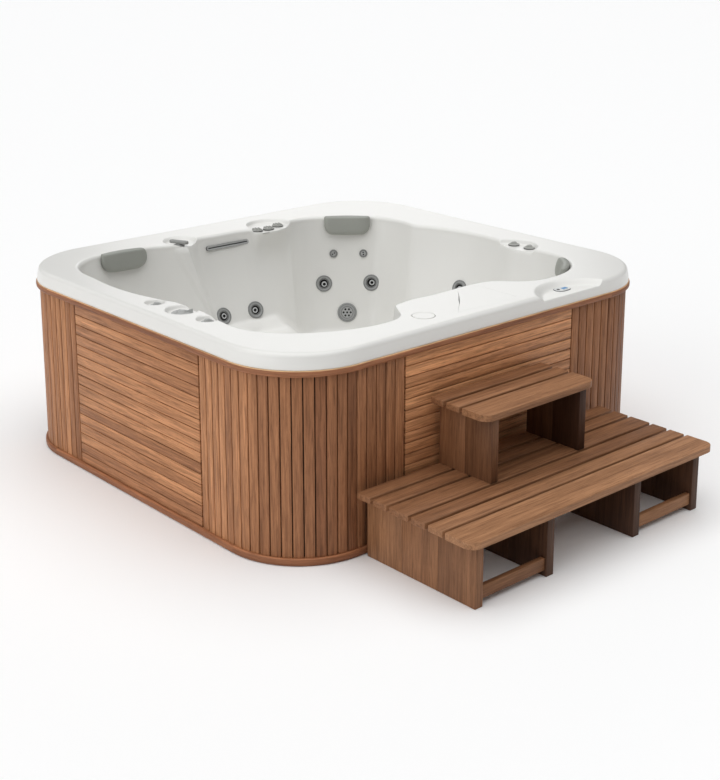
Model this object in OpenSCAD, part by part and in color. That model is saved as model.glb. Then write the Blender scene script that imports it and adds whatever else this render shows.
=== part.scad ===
// Free-standing hot tub in a slatted timber cabinet, with a two-tier timber step in front.
// Origin: centre of the tub's floor plan, on the floor. +Y runs to the back, +X to the right.

/* [Tub] */
// Width over the timber, left to right
tub_w = 2128; // [1900:1:2400]
// Depth over the timber, front to back
tub_d = 1990; // [1800:1:2300]
// Radius of the cabinet's corners, over the timber
corner_r = 335; // [250:1:400]
// Height of the shell's rim above the floor
rim_h = 840; // [780:1:950]

/* [Cabinet] */
// Thickness of the cladding slats
slat_t = 16; // [12:0.5:22]
// Thickness of the board behind the slats
backing_t = 6; // [4:0.5:10]
// Gap between neighbouring slats
slat_gap = 2; // [1:0.5:4]
// Width of the front and back panels
panel_w = 973; // [800:1:1100]
// Width of the side panels
panel_d = 913; // [750:1:1000]
// Horizontal slats in a panel
panel_slats = 16; // [10:1:24]
// Upright slats round a corner
corner_slats_n = 22; // [14:1:30]
// Open gap at one edge of each panel
panel_gap = 7; // [3:0.5:12]
// Clearance round the removable side panel
panel_clear = 0.6; // [0.3:0.1:2]
// Height of the bottom trim
bottom_trim_h = 30; // [20:1:50]
// How far the bottom trim stands out from the timber
bottom_trim_out = 11; // [5:1:20]
// Height of the trim under the shell's lip
top_trim_h = 26; // [15:1:40]
// How far the top trim stands out from the timber
top_trim_out = 16; // [8:1:25]

/* [Frame] */
// Thickness of the frame timbers, inwards
frame_t = 40; // [25:1:50]
// Height of the sill and of the top rail
rail_h = 45; // [30:1:70]
// Width of the posts along the wall
post_w = 60; // [40:1:90]
// Thickness of the base pan
pan_t = 24; // [12:1:30]

/* [Shell] */
// Thickness of the acrylic shell
shell_t = 8; // [5:0.5:12]
// How far the lip stands out from the timber
lip_out = 10; // [4:1:14]
// Height of the lip's outer face, down from the rim
lip_h = 64; // [50:1:90]
// Radius of the lip's outer edge
lip_r = 45; // [30:1:50]
// Radius of the rim's inner edge
rim_r = 18; // [8:1:24]
// Lean of the walls from rim to seat
wall_lean = 120; // [60:1:170]
// Height of the footwell's floor above the ground
floor_h = 66; // [50:1:120]

/* [Controls] */
// Radius of the small valves in the rim
valve_r = 22; // [18:0.5:24]
// Radius of the diverter valve in the rim
diverter_r = 40; // [32:0.5:42]
// Radius of the spindles that the knobs turn on
spindle_r = 5; // [3:0.5:8]
// Clearance between a knob or jet face and what it turns in
turn_clear = 0.3; // [0.2:0.05:0.5]
// Clearance between the shell and what passes through it
shell_clear = 0.4; // [0.2:0.1:0.9]

/* [Jets] */
// Outer radius of a large jet
jet_r = 42; // [28:0.5:48]
// Outer radius of a small jet
small_jet_r = 21; // [14:0.5:24]
// Outer radius of the suction cover
suction_r = 49; // [30:0.5:56]
// How far a jet stands out of the wall
jet_out = 5; // [2:0.5:10]

/* [Pillows] */
// Width of a head pillow
pillow_w = 236; // [180:1:280]
// Height of a head pillow
pillow_h = 100; // [80:1:120]
// Thickness of a head pillow at its crown
pillow_t = 40; // [25:1:50]

/* [Steps] */
// Height of the lower tread
step_h = 277; // [220:1:320]
// Height of the upper tread
upper_step_h = 562; // [480:1:600]
// Thickness of the treads' slats
tread_t = 26; // [18:1:35]
// Thickness of the upright panels under the treads
leg_t = 39; // [25:1:50]
// Gap between the step and the timber cladding
step_gap = 26; // [20:1:60]
// Depth of the lower step's upright panels
step_d = 571; // [450:1:650]
// Depth of the upper step's upright panels
upper_step_d = 280; // [220:1:330]

/* [Hidden] */
$fn = 64;

timber = "#9a6040";
dark_timber = "#7a4a30";
acrylic = "#ecebe6";
grey_plastic = "#8b8d89";
chrome = "#b9bcbd";
frame_colour = "#b79a6b";
black_plastic = "#2b2c2e";
pipe_colour = "#d8d8d2";
paper = "#e8e6dc";
display_blue = "#5aa5d0";
pillow_grey = "#83877f";

left = -tub_w / 2;
front = -tub_d / 2;
lip_z = rim_h - lip_h;
slat_top = lip_z - top_trim_h;
inner_line = slat_t + backing_t;
bath_c = [-34, -65];

// Places given from the left and front timber faces of a tub 2128 wide and 1990 deep
scale_x = tub_w / 2128;
scale_y = tub_d / 1990;
function place(x, y) = [left + x * scale_x, front + y * scale_y];

// Rounded rectangle round the cabinet's plan, grown outwards by g
module plan(g) {
    w = tub_w + 2 * g;
    d = tub_d + 2 * g;
    r = corner_r + g;
    union() {
        square([w - 2 * r, d], center = true);
        square([w, d - 2 * r], center = true);
        for (x = [-1, 1], y = [-1, 1])
            translate([x * (w / 2 - r), y * (d / 2 - r)]) circle(r);
    }
}

module plan_ring(outer, inner, z, h) {
    translate([0, 0, z]) linear_extrude(h) difference() {
        plan(outer);
        plan(inner);
    }
}

// Cabinet
module base_pan() {
    color(black_plastic) linear_extrude(pan_t) plan(-inner_line);
}

module bottom_trim() {
    color(timber) plan_ring(bottom_trim_out, -inner_line, 0, bottom_trim_h);
}

module top_trim() {
    color(timber) plan_ring(top_trim_out, -inner_line, slat_top, top_trim_h);
}

module frame_sill() {
    color(frame_colour) plan_ring(-inner_line, -inner_line - frame_t, pan_t, rail_h);
}

module frame_top_rail() {
    color(frame_colour) plan_ring(-inner_line, -inner_line - frame_t, slat_top - rail_h, rail_h);
}

module frame_posts() {
    z0 = pan_t + rail_h;
    h = slat_top - rail_h - z0;
    mid_x = tub_w / 2 - inner_line - frame_t / 2;
    mid_y = tub_d / 2 - inner_line - frame_t / 2;
    arc_in = corner_r - inner_line - frame_t - 4;
    color(frame_colour) {
        for (s = [-1, 1], x = [-1, 1])
            translate([x * (panel_w / 2 + post_w / 2), s * mid_y, z0 + h / 2])
                cube([post_w, frame_t, h], center = true);
        for (s = [-1, 1], y = [-1, 1])
            translate([s * mid_x, y * (panel_d / 2 + post_w / 2), z0 + h / 2])
                cube([frame_t, post_w, h], center = true);
        for (a = [45, 135, 225, 315])
            translate([sign(cos(a)) * (tub_w / 2 - corner_r), sign(sin(a)) * (tub_d / 2 - corner_r), z0])
                rotate([0, 0, a]) translate([arc_in, -post_w / 2, 0]) cube([frame_t, post_w, h]);
    }
}

// Backings of the corners and of the three fixed panels. The left panel has its own.
module cladding_backings() {
    h = slat_top - bottom_trim_h;
    cut_d = panel_d + 2 * panel_clear;
    color(dark_timber) difference() {
        plan_ring(-slat_t, -inner_line, bottom_trim_h, h);
        translate([left - 1, -cut_d / 2, bottom_trim_h - 1])
            cube([inner_line + 2, cut_d, h + 2]);
    }
}

// One row of slats from z0 to z1, along x from 0 to len, standing out towards -y
module slat_row(len, z0, z1) {
    pitch = (z1 - z0) / panel_slats;
    for (i = [0:panel_slats - 1])
        translate([0, 0, z0 + i * pitch + slat_gap / 2]) cube([len, slat_t, pitch - slat_gap]);
}

module front_panel_slats() {
    color(timber) translate([-panel_w / 2 + panel_gap, front, 0])
        slat_row(panel_w - panel_gap - slat_gap, bottom_trim_h, slat_top);
}

module back_panel_slats() {
    color(timber) rotate([0, 0, 180]) translate([-panel_w / 2 + panel_gap, front, 0])
        slat_row(panel_w - panel_gap - slat_gap, bottom_trim_h, slat_top);
}

module right_panel_slats() {
    color(timber) rotate([0, 0, 90]) translate([-panel_d / 2 + panel_gap, left, 0])
        slat_row(panel_d - panel_gap - slat_gap, bottom_trim_h, slat_top);
}

module left_panel_slats() {
    color(timber) rotate([0, 0, -90]) translate([-panel_d / 2 + slat_gap, left, 0])
        slat_row(panel_d - panel_gap - slat_gap, bottom_trim_h + panel_clear, slat_top - panel_clear);
}

module left_panel_backing() {
    color(dark_timber) translate([left + slat_t, -panel_d / 2, bottom_trim_h + panel_clear])
        cube([backing_t, panel_d, slat_top - bottom_trim_h - 2 * panel_clear]);
}

// The upright slats of one corner: its straight run along x, its arc and its straight run along y
run_x = (tub_w - panel_w) / 2 - corner_r;
run_y = (tub_d - panel_d) / 2 - corner_r;
arc_len = corner_r * PI / 2;
corner_pitch = (run_x + run_y + arc_len) / corner_slats_n;
straight_nx = max(1, round(run_x / corner_pitch));
straight_ny = max(1, round(run_y / corner_pitch));
arc_n = max(2, corner_slats_n - straight_nx - straight_ny);

module upright_slats(sx, sy) {
    h = slat_top - bottom_trim_h;
    px = run_x / straight_nx;
    py = run_y / straight_ny;
    step = 90 / arc_n;
    gap_a = slat_gap / corner_r * 180 / PI;
    cx = tub_w / 2 - corner_r;
    cy = tub_d / 2 - corner_r;
    start = sx > 0 ? (sy > 0 ? 0 : 270) : (sy > 0 ? 90 : 180);
    for (i = [0:straight_nx - 1])
        translate([sx * (cx - (i + 0.5) * px), sy * (tub_d / 2 - slat_t / 2), bottom_trim_h + h / 2])
            cube([px - slat_gap, slat_t, h], center = true);
    for (i = [0:straight_ny - 1])
        translate([sx * (tub_w / 2 - slat_t / 2), sy * (cy - (i + 0.5) * py), bottom_trim_h + h / 2])
            cube([slat_t, py - slat_gap, h], center = true);
    translate([sx * cx, sy * cy, bottom_trim_h])
        for (i = [0:arc_n - 1])
            rotate([0, 0, start + i * step + gap_a / 2]) rotate_extrude(angle = step - gap_a)
                translate([corner_r - slat_t, 0]) square([slat_t, h]);
}

module corner_slats() {
    color(timber) for (sx = [-1, 1], sy = [-1, 1]) upright_slats(sx, sy);
}

// Shell. Its rim opening passes through these points, from the left and front timber faces,
// anticlockwise from the middle of the left side.
rim_pts = [for (p = [
    [180, 910], [180, 735], [153, 560], [153, 470], [184, 390], [244, 312], [335, 243],
    [446, 191], [555, 165], [640, 162], [702, 177], [742, 207], [772, 255], [803, 303],
    [855, 323], [945, 329], [1180, 329], [1290, 325], [1346, 313], [1388, 284], [1424, 244],
    [1475, 206], [1543, 181], [1686, 188], [1760, 212], [1830, 255], [1882, 318], [1915, 395],
    [1925, 490], [1918, 560], [1900, 640], [1904, 700], [1928, 775], [1937, 850], [1918, 1090],
    [1880, 1200], [1843, 1290], [1850, 1370], [1848, 1450], [1828, 1530], [1775, 1592],
    [1710, 1652], [1565, 1752], [1480, 1765], [1425, 1752], [1372, 1718], [1310, 1700],
    [1250, 1700], [1206, 1716], [1174, 1748], [1000, 1765], [870, 1765], [785, 1715],
    [700, 1735], [600, 1775], [380, 1800], [260, 1765], [181, 1700], [137, 1600], [122, 1450],
    [136, 1080], [160, 980]
]) place(p[0], p[1])];
n_rim = len(rim_pts);
rim_a = [for (p = rim_pts) atan2(p[1] - bath_c[1], p[0] - bath_c[0])];
rim_d = [for (p = rim_pts) norm(p - bath_c)];

function wrap(i) = (i + n_rim) % n_rim;
function turn(i) = rim_a[wrap(i)] + (i < 0 ? -360 : i >= n_rim ? 360 : 0);
function slope(i) = (rim_d[wrap(i + 1)] - rim_d[wrap(i - 1)]) / (turn(i + 1) - turn(i - 1));
function hermite(p, q, m, n, u) =
    p * (2 * u ^ 3 - 3 * u ^ 2 + 1) + m * (u ^ 3 - 2 * u ^ 2 + u)
    + q * (3 * u ^ 2 - 2 * u ^ 3) + n * (u ^ 3 - u ^ 2);
// Distance from the bath's centre to the rim opening, in segment i at share u
function rim_at(i, u) = let (w = turn(i + 1) - turn(i))
    hermite(rim_d[i], rim_d[wrap(i + 1)], slope(i) * w, slope(wrap(i + 1)) * w, u);

// Distance from the bath's centre to the cabinet's plan grown by g, at angle a
function side_hit(o, d, half) = d > 0 ? (half - o) / d : d < 0 ? (-half - o) / d : 1e9;
function plan_at(a, g) = let (
    hx = tub_w / 2 + g,
    hy = tub_d / 2 + g,
    r = corner_r + g,
    dx = cos(a),
    dy = sin(a),
    t = min(side_hit(bath_c[0], dx, hx), side_hit(bath_c[1], dy, hy)),
    x = bath_c[0] + t * dx,
    y = bath_c[1] + t * dy,
    in_corner = abs(x) > hx - r && abs(y) > hy - r,
    ox = bath_c[0] - sign(x) * (hx - r),
    oy = bath_c[1] - sign(y) * (hy - r),
    b = ox * dx + oy * dy
) in_corner ? -b + sqrt(b * b - ox * ox - oy * oy + r * r) : t;

// Seats: start angle, height of the seat, and distance of its front edge from the bath's centre
seats = [
    [-180, 340, 440], [-128, 380, 390], [-62, 360, 400], [-20, 330, 430], [22, 250, 480],
    [60, 400, 540], [118, 340, 520], [152, 340, 440]
];
seat_blend = 9;
function ease(u) = let (c = min(1, max(0, u))) c * c * (3 - 2 * c);
function turned(a) = a > 180 ? a - 360 : a < -180 ? a + 360 : a;
function seat_value(a, k) = seats[0][k] + sum([for (i = [1:len(seats) - 1])
    (seats[i][k] - seats[i - 1][k]) * ease((turned(a) - seats[i][0]) / seat_blend + 0.5)]);
function sum(v, i = 0) = i >= len(v) ? 0 : v[i] + sum(v, i + 1);

// Height above the seat at which the wall ends, and how far the wall has leant in at two heights
wall_foot = 70;
upper_bend = [0.3, 0.22];
lower_bend = [0.68, 0.6];

// The wall of the bath: how far it has leant in at height z, its radius, its point and its normal
function leant(s) = s <= 0 ? 0
    : s < upper_bend[0] ? upper_bend[1] * s / upper_bend[0]
    : s < lower_bend[0] ? upper_bend[1] + (lower_bend[1] - upper_bend[1])
        * (s - upper_bend[0]) / (lower_bend[0] - upper_bend[0])
    : lower_bend[1] + (1 - lower_bend[1]) * (s - lower_bend[0]) / (1 - lower_bend[0]);
function rim_near(a) = let (
    b = a < rim_a[0] ? a + 360 : a,
    i = max([for (k = [0:n_rim - 1]) if (b >= rim_a[k]) k])
) rim_at(i, (b - rim_a[i]) / (turn(i + 1) - rim_a[i]));
function wall_r(a, z) = let (zt = rim_h - rim_r, zf = seat_value(a, 1) + wall_foot)
    rim_near(a) - wall_lean * leant((zt - z) / (zt - zf));
function wall_pt(a, z) = let (r = wall_r(a, z)) [bath_c[0] + r * cos(a), bath_c[1] + r * sin(a), z];
function wall_az(a, z) = 180 + a - atan2(
    (wall_r(a + 2, z) - wall_r(a - 2, z)) / (4 * PI / 180), wall_r(a, z));
function wall_tilt(a, z) = atan2(wall_r(a, z + 20) - wall_r(a, z - 20), 40);
function wall_normal(a, z) = let (e = wall_tilt(a, z), b = wall_az(a, z))
    [cos(e) * cos(b), cos(e) * sin(b), sin(e)];

// Puts its children on the wall, with their z out into the bath and their x down the wall
module on_wall(a, z) {
    translate(wall_pt(a, z)) rotate([0, 0, wall_az(a, z)]) rotate([0, 90 - wall_tilt(a, z), 0])
        children();
}

arc_steps = [0, 25, 50, 70, 90];
// Section through the shell at one angle: radius and height pairs, from the lip's foot to the
// footwell, for a skin that lies s inside the bath's surface
function section(o, r, seat, foot, s) = let (
    lean = wall_lean,
    zt = rim_h - rim_r,
    zf = seat + wall_foot
) concat(
    [[o - s, lip_z]],
    [for (a = arc_steps) [o - lip_r + (lip_r - s) * cos(a), rim_h - lip_r + (lip_r - s) * sin(a)]],
    [
        [r + rim_r + s * 0.3, rim_h - s],
        [r + rim_r * 0.3 + s * 0.7, rim_h - rim_r * 0.3 - s * 0.7],
        [r + s, zt - s * 0.2],
        [r - lean * upper_bend[1] + s, zt - (zt - zf) * upper_bend[0]],
        [r - lean * lower_bend[1] + s, zt - (zt - zf) * lower_bend[0]],
        [r - lean + s, zf],
        [r - lean - 22 + s * 0.7, seat + 22 - s * 0.7],
        [r - lean - 75, seat - s],
        [foot + 30, seat - 4 - s],
        [foot + s * 0.7, seat - 30 - s * 0.7],
        [foot - 14 + s, seat - 75],
        [foot - 60 + s, floor_h + 60],
        [foot - 80 + s * 0.7, floor_h + 18 - s * 0.7],
        [foot - 130, floor_h - s]
    ]
);

// The least depth of a seat, and how many sections each step of the rim's points takes
seat_min = 120;
shell_sub = 2;
shell_stations = [for (i = [0:n_rim - 1], j = [0:shell_sub - 1]) let (
    u = j / shell_sub,
    a = turn(i) + (turn(i + 1) - turn(i)) * u
) [a, rim_at(i, u), plan_at(a, lip_out), seat_value(a, 1), seat_value(a, 2)]];

module shell_solid() {
    n = len(shell_stations);
    rings = [for (st = shell_stations) let (
        foot = min(st[4], st[1] - wall_lean - seat_min),
        top = section(st[2], st[1], st[3], foot, 0),
        under = section(st[2], st[1], st[3], foot, shell_t),
        m = len(top)
    ) concat([for (k = [m - 1:-1:0]) top[k]], under)];
    m = len(rings[0]);
    pts = concat(
        [for (i = [0:n - 1], k = [0:m - 1]) [
            bath_c[0] + rings[i][k][0] * cos(shell_stations[i][0]),
            bath_c[1] + rings[i][k][0] * sin(shell_stations[i][0]),
            rings[i][k][1]
        ]],
        [[bath_c[0], bath_c[1], floor_h], [bath_c[0], bath_c[1], floor_h - shell_t]]
    );
    faces = concat(
        [for (i = [0:n - 1], k = [0:m - 2]) let (j = (i + 1) % n) [i * m + k, i * m + k + 1, j * m + k + 1]],
        [for (i = [0:n - 1], k = [0:m - 2]) let (j = (i + 1) % n) [i * m + k, j * m + k + 1, j * m + k]],
        [for (i = [0:n - 1]) [n * m, i * m, ((i + 1) % n) * m]],
        [for (i = [0:n - 1]) [n * m + 1, ((i + 1) % n) * m + m - 1, i * m + m - 1]]
    );
    polyhedron(pts, faces);
}

// Fittings in the rim: place, and radius of the seat
diverter_at = place(115, 807);
air_left_rear_at = place(107, 978);
air_left_front_at = place(127, 652);
lever_at = place(756, 1758);
air_back_at = [place(1219, 1753), place(1284, 1745), place(1360, 1768)];
air_right_at = [place(1957, 712), place(1963, 620)];
deck_cap_at = place(790, 121);
deck_cap_r = 47;
// How deep the valves' seats and the deck cap's seat lie below the rim, and the height of the
// spindles on them
seat_sunk = 17;
spindle_h = 12;
cap_sunk = 6;
cap_spindle_h = 4;
// Each seat: place, radius, depth below the rim and height of its spindle
seats_in_rim = concat(
    [[diverter_at, diverter_r, seat_sunk, spindle_h], [deck_cap_at, deck_cap_r, cap_sunk, cap_spindle_h]],
    [for (p = concat([air_left_rear_at, air_left_front_at, lever_at], air_back_at, air_right_at))
        [p, valve_r, seat_sunk, spindle_h]]
);
// How far a valve's body reaches below its seat
valve_body_h = 46;

// The knobs on the valves: radius of the small ones and of the diverter's, and the reach of their
// grips and of the lever
air_knob_r = valve_r + 4;
diverter_knob_r = diverter_r + 4;
air_knob_reach = air_knob_r * 1.1;
diverter_reach = diverter_knob_r * 1.15;
lever_reach = 50;

// Round recesses in the rim, open to the bath where they reach it: middle and diameter of each
recesses = [
    [air_left_rear_at + [-6, 4], 80],
    [diverter_at + [11, 17], 134],
    [air_left_front_at, 88],
    [lever_at + [28, 27], 168],
    [(air_back_at[0] + air_back_at[2]) / 2 + [22, 8], 230],
    [air_back_at[0], 2 * air_knob_reach + 6],
    [(air_right_at[0] + air_right_at[1]) / 2 + [-63, 2], 236]
];
recess_wall = 5;

// Fittings in the walls: angle round the bath's centre, height, and outer radius
jet_back_left = [98.1, 464, jet_r];
jet_back_right = [83.4, 463, jet_r];
jet_corner_left = [53.4, 504, jet_r];
jet_corner_right = [38.4, 508, jet_r];
jet_side = [3.8, 567, jet_r];
jet_small_left = [50.3, 652, small_jet_r];
jet_small_right = [41.2, 653, small_jet_r];
suction_at = [45.9, 360, suction_r];
large_jets = [jet_back_left, jet_back_right, jet_corner_left, jet_corner_right, jet_side];
small_jets = [jet_small_left, jet_small_right];
// Depth of a wall fitting behind the wall's surface
fitting_depth = 45;

// Waterfall: angle and height of its middle, its length and its height
spout_at = [89.6, rim_h - 58];
spout_l = 250;
spout_h = 24;
spout_slot_h = 9;

// Pillows: angle and height of their middles, and the spread of their pegs
pillow_z = rim_h + 6 - pillow_h / 2;
pillow_angles = [123.7, 46.2, -39];
peg_spread = 60;
peg_r = 6;

// Filter well under the front deck: the lid's corners and the well's middle
lid_pts = [place(925, 62), place(1270, 62), place(1270, 286), place(1150, 290)];
lid_clear = 1;
lid_t = 8;
well_at = place(1120, 166);
well_r = 84;
well_wall = 4;
well_h = 450;
ledge_w = 12;

// Control panel's recess in the front deck: its middle, radius and floor
recess_at = place(1540, -113);
recess_r = 235;
recess_z = rim_h - 24;
tray_t = 6;
keypad_at = place(1556, 66);

// Long shape with round ends, or a disc where length and height are equal
module stadium(l, h) {
    if (l > h) square([l - h, h], center = true);
    for (s = l > h ? [-1, 1] : [0]) translate([s * (l - h) / 2, 0]) circle(h / 2);
}

module recess_shape(c, extra) {
    translate(c[0]) circle(c[1] / 2 + extra);
}

// Plan of the bath's opening, grown outwards by g
module opening_plan(g) {
    polygon([for (st = shell_stations) bath_c + (st[1] + g) * [cos(st[0]), sin(st[0])]]);
}

// Floors of the recesses, and their walls up to the underside of the shell, which end behind
// the bath's wall and short of the lip's inside
module recess_floors() {
    z = rim_h - seat_sunk;
    translate([0, 0, z - recess_wall]) linear_extrude(recess_wall) difference() {
        intersection() {
            for (c = recesses) recess_shape(c, recess_wall);
            plan(-lip_inside(seat_sunk));
        }
        opening_plan(shell_t + 3);
    }
    translate([0, 0, z]) linear_extrude(seat_sunk - shell_t - shell_clear) difference() {
        intersection() {
            for (c = recesses) recess_shape(c, recess_wall);
            plan(-lip_inside(shell_t + shell_clear));
        }
        for (c = recesses) recess_shape(c, 0.5);
        opening_plan(shell_t + rim_r - 1);
    }
}

// How far the inside of the lip's rounding lies behind the timber face, at a depth below the rim
function lip_inside(drop) =
    lip_r - lip_out - sqrt((lip_r - shell_t) ^ 2 - (lip_r - drop) ^ 2) + 1.5;

module shell() {
    hole_h = 4 * fitting_depth;
    color(acrylic) difference() {
        shell_solid();
        for (c = recesses)
            translate([0, 0, rim_h - seat_sunk]) linear_extrude(rim_h) recess_shape(c, 0);
        translate([deck_cap_at[0], deck_cap_at[1], rim_h - hole_h / 2])
            cylinder(r = deck_cap_r + shell_clear, h = hole_h);
        for (j = concat(large_jets, small_jets, [suction_at]))
            on_wall(j[0], j[1]) translate([0, 0, -hole_h / 2]) cylinder(r = j[2] + shell_clear, h = hole_h);
        on_wall(spout_at[0], spout_at[1]) translate([0, 0, -hole_h / 2]) linear_extrude(hole_h)
            rotate([0, 0, 90]) stadium(spout_l + 2 * shell_clear, spout_h + 2 * shell_clear);
        for (a = pillow_angles) on_wall(a, pillow_z) for (s = [-1, 1])
            translate([0, s * peg_spread, -hole_h / 2]) cylinder(r = peg_r + shell_clear, h = hole_h);
        translate([0, 0, rim_h - shell_t - 2]) linear_extrude(shell_t + 4) polygon(lid_pts);
        translate([recess_at[0], recess_at[1], recess_z - tray_t - shell_clear])
            cylinder(r = recess_r, h = rim_h, $fn = 96);
    }
}

cradle_r = 240;
module shell_cradle() {
    color(grey_plastic) translate([bath_c[0], bath_c[1], pan_t])
        cylinder(r = cradle_r, h = floor_h - shell_t - pan_t);
}

// Equipment under the seats, along the left side behind the removable panel
pump_x = bath_c[0] - 670;
pump_y = [front + 640, front + 1110];
pump_z = pan_t + 98;
wet_end_r = 85;
wet_end_l = 95;
motor_r = 72;
motor_l = 230;
ring_r = 545;
ring_z = 95;
pipe_r = 25;
riser_r = 12;

module pump_housings() {
    color(black_plastic) for (y = pump_y) translate([pump_x, y, pump_z]) {
        rotate([-90, 0, 0]) cylinder(r = wet_end_r, h = wet_end_l);
        translate([0, wet_end_l * 0.15, ring_z - pump_z - pipe_r - 6])
            cube([wet_end_r + 8, wet_end_l * 0.7, 2 * pipe_r + 12]);
    }
}

module pump_motors() {
    color(grey_plastic) for (y = pump_y) translate([pump_x, y + wet_end_l, pump_z]) {
        rotate([-90, 0, 0]) cylinder(r = motor_r, h = motor_l);
        translate([-motor_r * 0.7, motor_l * 0.2, pan_t - pump_z])
            cube([motor_r * 1.4, motor_l * 0.6, pump_z - pan_t]);
    }
}

// The control box stands by the panel, with the heater's tube on two saddles on top of it
box_size = [120, 320, 236];
heater_r = 28;
heater_l = 420;
saddle = [36, 24, heater_r + 8];

module heater() {
    color(chrome) translate([left + 140, front + 740, pan_t + box_size[2]]) {
        translate([0, 0, saddle[2]]) rotate([-90, 0, 0]) cylinder(r = heater_r, h = heater_l);
        for (y = [90, 300]) translate([-saddle[0] / 2, y, 0]) cube(saddle);
    }
}

module control_box() {
    color(grey_plastic) translate([left + 80, front + 790, pan_t]) cube(box_size);
}

blower_r = 80;
blower_h = 130;
module air_blower() {
    color(black_plastic) translate([left + tub_w - 330, front + 560, pan_t]) {
        cylinder(r = blower_r, h = blower_h);
        translate([0, 0, blower_h]) cylinder(r = blower_r / 2, h = 50);
    }
}

// Ring main round the footwell, pump stubs, and a riser to each jet
module water_pipes() {
    stub_x = pump_x + wet_end_r + 8;
    color(pipe_colour) union() {
        translate([bath_c[0], bath_c[1], ring_z]) rotate_extrude($fn = 96)
            translate([ring_r, 0]) circle(pipe_r);
        for (y = pump_y) let (
            py = y + wet_end_l / 2,
            x_in = bath_c[0] - sqrt(ring_r * ring_r - (py - bath_c[1]) ^ 2)
        ) translate([stub_x, py, ring_z]) rotate([0, 90, 0]) cylinder(r = pipe_r - 4, h = x_in - stub_x);
        for (j = concat(large_jets, small_jets)) riser(j);
    }
}

module riser(j) {
    p = wall_pt(j[0], j[1]) - wall_normal(j[0], j[1]) * (fitting_depth + 20);
    v = [p[0] - bath_c[0], p[1] - bath_c[1]];
    d = norm(v);
    a = atan2(v[1], v[0]);
    top = p[2] - j[2] * 0.6 - 4;
    translate([bath_c[0], bath_c[1], ring_z]) rotate([0, 0, a]) {
        translate([ring_r, 0, 0]) rotate([0, 90, 0]) cylinder(r = riser_r, h = d - ring_r);
        translate([d, 0, 0]) sphere(riser_r);
        translate([d, 0, 0]) cylinder(r = riser_r, h = top - ring_z);
    }
}

// Filter
module lid_shape(e) {
    polygon([
        lid_pts[0] + [e * 1.6, e], lid_pts[1] + [-e, e], lid_pts[2] + [-e, -e], lid_pts[3] + [-e * 0.6, -e]
    ]);
}

module filter_housing() {
    z1 = rim_h - lid_t;
    w = ledge_w;
    color(grey_plastic) difference() {
        union() {
            translate([0, 0, z1 - well_wall]) linear_extrude(well_wall) polygon([
                lid_pts[0] + [-w, -w], lid_pts[1] + [w, -w],
                lid_pts[2] + [w, w / 2], lid_pts[3] + [-w / 2, w / 2]
            ]);
            translate([well_at[0], well_at[1], z1 - well_h]) cylinder(r = well_r + well_wall, h = well_h);
        }
        translate([well_at[0], well_at[1], z1 - well_h + well_wall]) cylinder(r = well_r, h = well_h);
    }
}

cartridge_h = well_h - 110;
neck_r = 22;
neck_h = 55;
handle = [80, 16, 16];
module filter_cartridge() {
    z0 = rim_h - lid_t - well_h + well_wall;
    color(paper) translate([well_at[0], well_at[1], z0]) {
        cylinder(r = well_r - 10, h = cartridge_h);
        translate([0, 0, cartridge_h]) cylinder(r = neck_r, h = neck_h);
        translate([-handle[0] / 2, -handle[1] / 2, cartridge_h + neck_h]) cube(handle);
    }
}

module filter_lid() {
    color(acrylic) translate([0, 0, rim_h - lid_t]) linear_extrude(lid_t) lid_shape(lid_clear);
}

module filter_lid_cap() {
    color(acrylic) translate([deck_cap_at[0], deck_cap_at[1], rim_h - cap_sunk]) difference() {
        cylinder(r = deck_cap_r - 2, h = cap_sunk + 1.5);
        translate([0, 0, -1]) cylinder(r = spindle_r + turn_clear, h = cap_spindle_h + 2);
    }
}

// Wall fittings
module waterfall_spout() {
    color(grey_plastic) on_wall(spout_at[0], spout_at[1]) difference() {
        translate([0, 0, -fitting_depth]) linear_extrude(fitting_depth + jet_out)
            rotate([0, 0, 90]) stadium(spout_l, spout_h);
        translate([0, 0, -fitting_depth * 0.7]) linear_extrude(2 * fitting_depth)
            rotate([0, 0, 90]) stadium(spout_l - 16, spout_slot_h);
    }
}

// Share of a jet's outer radius taken by its turning face, and depth of the face's seat
face_share = 0.62;
face_depth = 14;

module jet_housings() {
    color(grey_plastic) for (j = concat(large_jets, small_jets)) on_wall(j[0], j[1]) difference() {
        union() {
            translate([0, 0, -fitting_depth]) cylinder(r = j[2], h = fitting_depth + jet_out);
            translate([0, 0, -fitting_depth - 35]) cylinder(r = j[2] * 0.6, h = 36);
        }
        translate([0, 0, jet_out - face_depth]) cylinder(r = j[2] * face_share, h = 2 * face_depth);
        translate([0, 0, -fitting_depth - 20]) cylinder(r = j[2] * 0.3, h = 60 + fitting_depth);
    }
}

// A jet's turning face: a cup with its nozzle set off centre
module jet_face(j) {
    r = j[2] * face_share - turn_clear;
    color(grey_plastic) on_wall(j[0], j[1]) translate([0, 0, jet_out - face_depth + turn_clear])
        difference() {
            cylinder(r = r, h = face_depth);
            translate([0, 0, face_depth * 0.45]) difference() {
                cylinder(r = r * 0.84, h = face_depth);
                cylinder(r = r * 0.5, h = face_depth * 0.4);
            }
            translate([r * 0.1, r * 0.12, -1]) cylinder(r = r * 0.26, h = 2 * face_depth);
        }
}

module small_jet_face(j) {
    r = j[2] * face_share - turn_clear;
    color(grey_plastic) on_wall(j[0], j[1]) translate([0, 0, jet_out - face_depth + turn_clear])
        difference() {
            cylinder(r = r, h = face_depth);
            for (s = [-1, 1]) translate([s * r * 0.42, 0, -1]) cylinder(r = r * 0.22, h = 2 * face_depth);
        }
}

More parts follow.
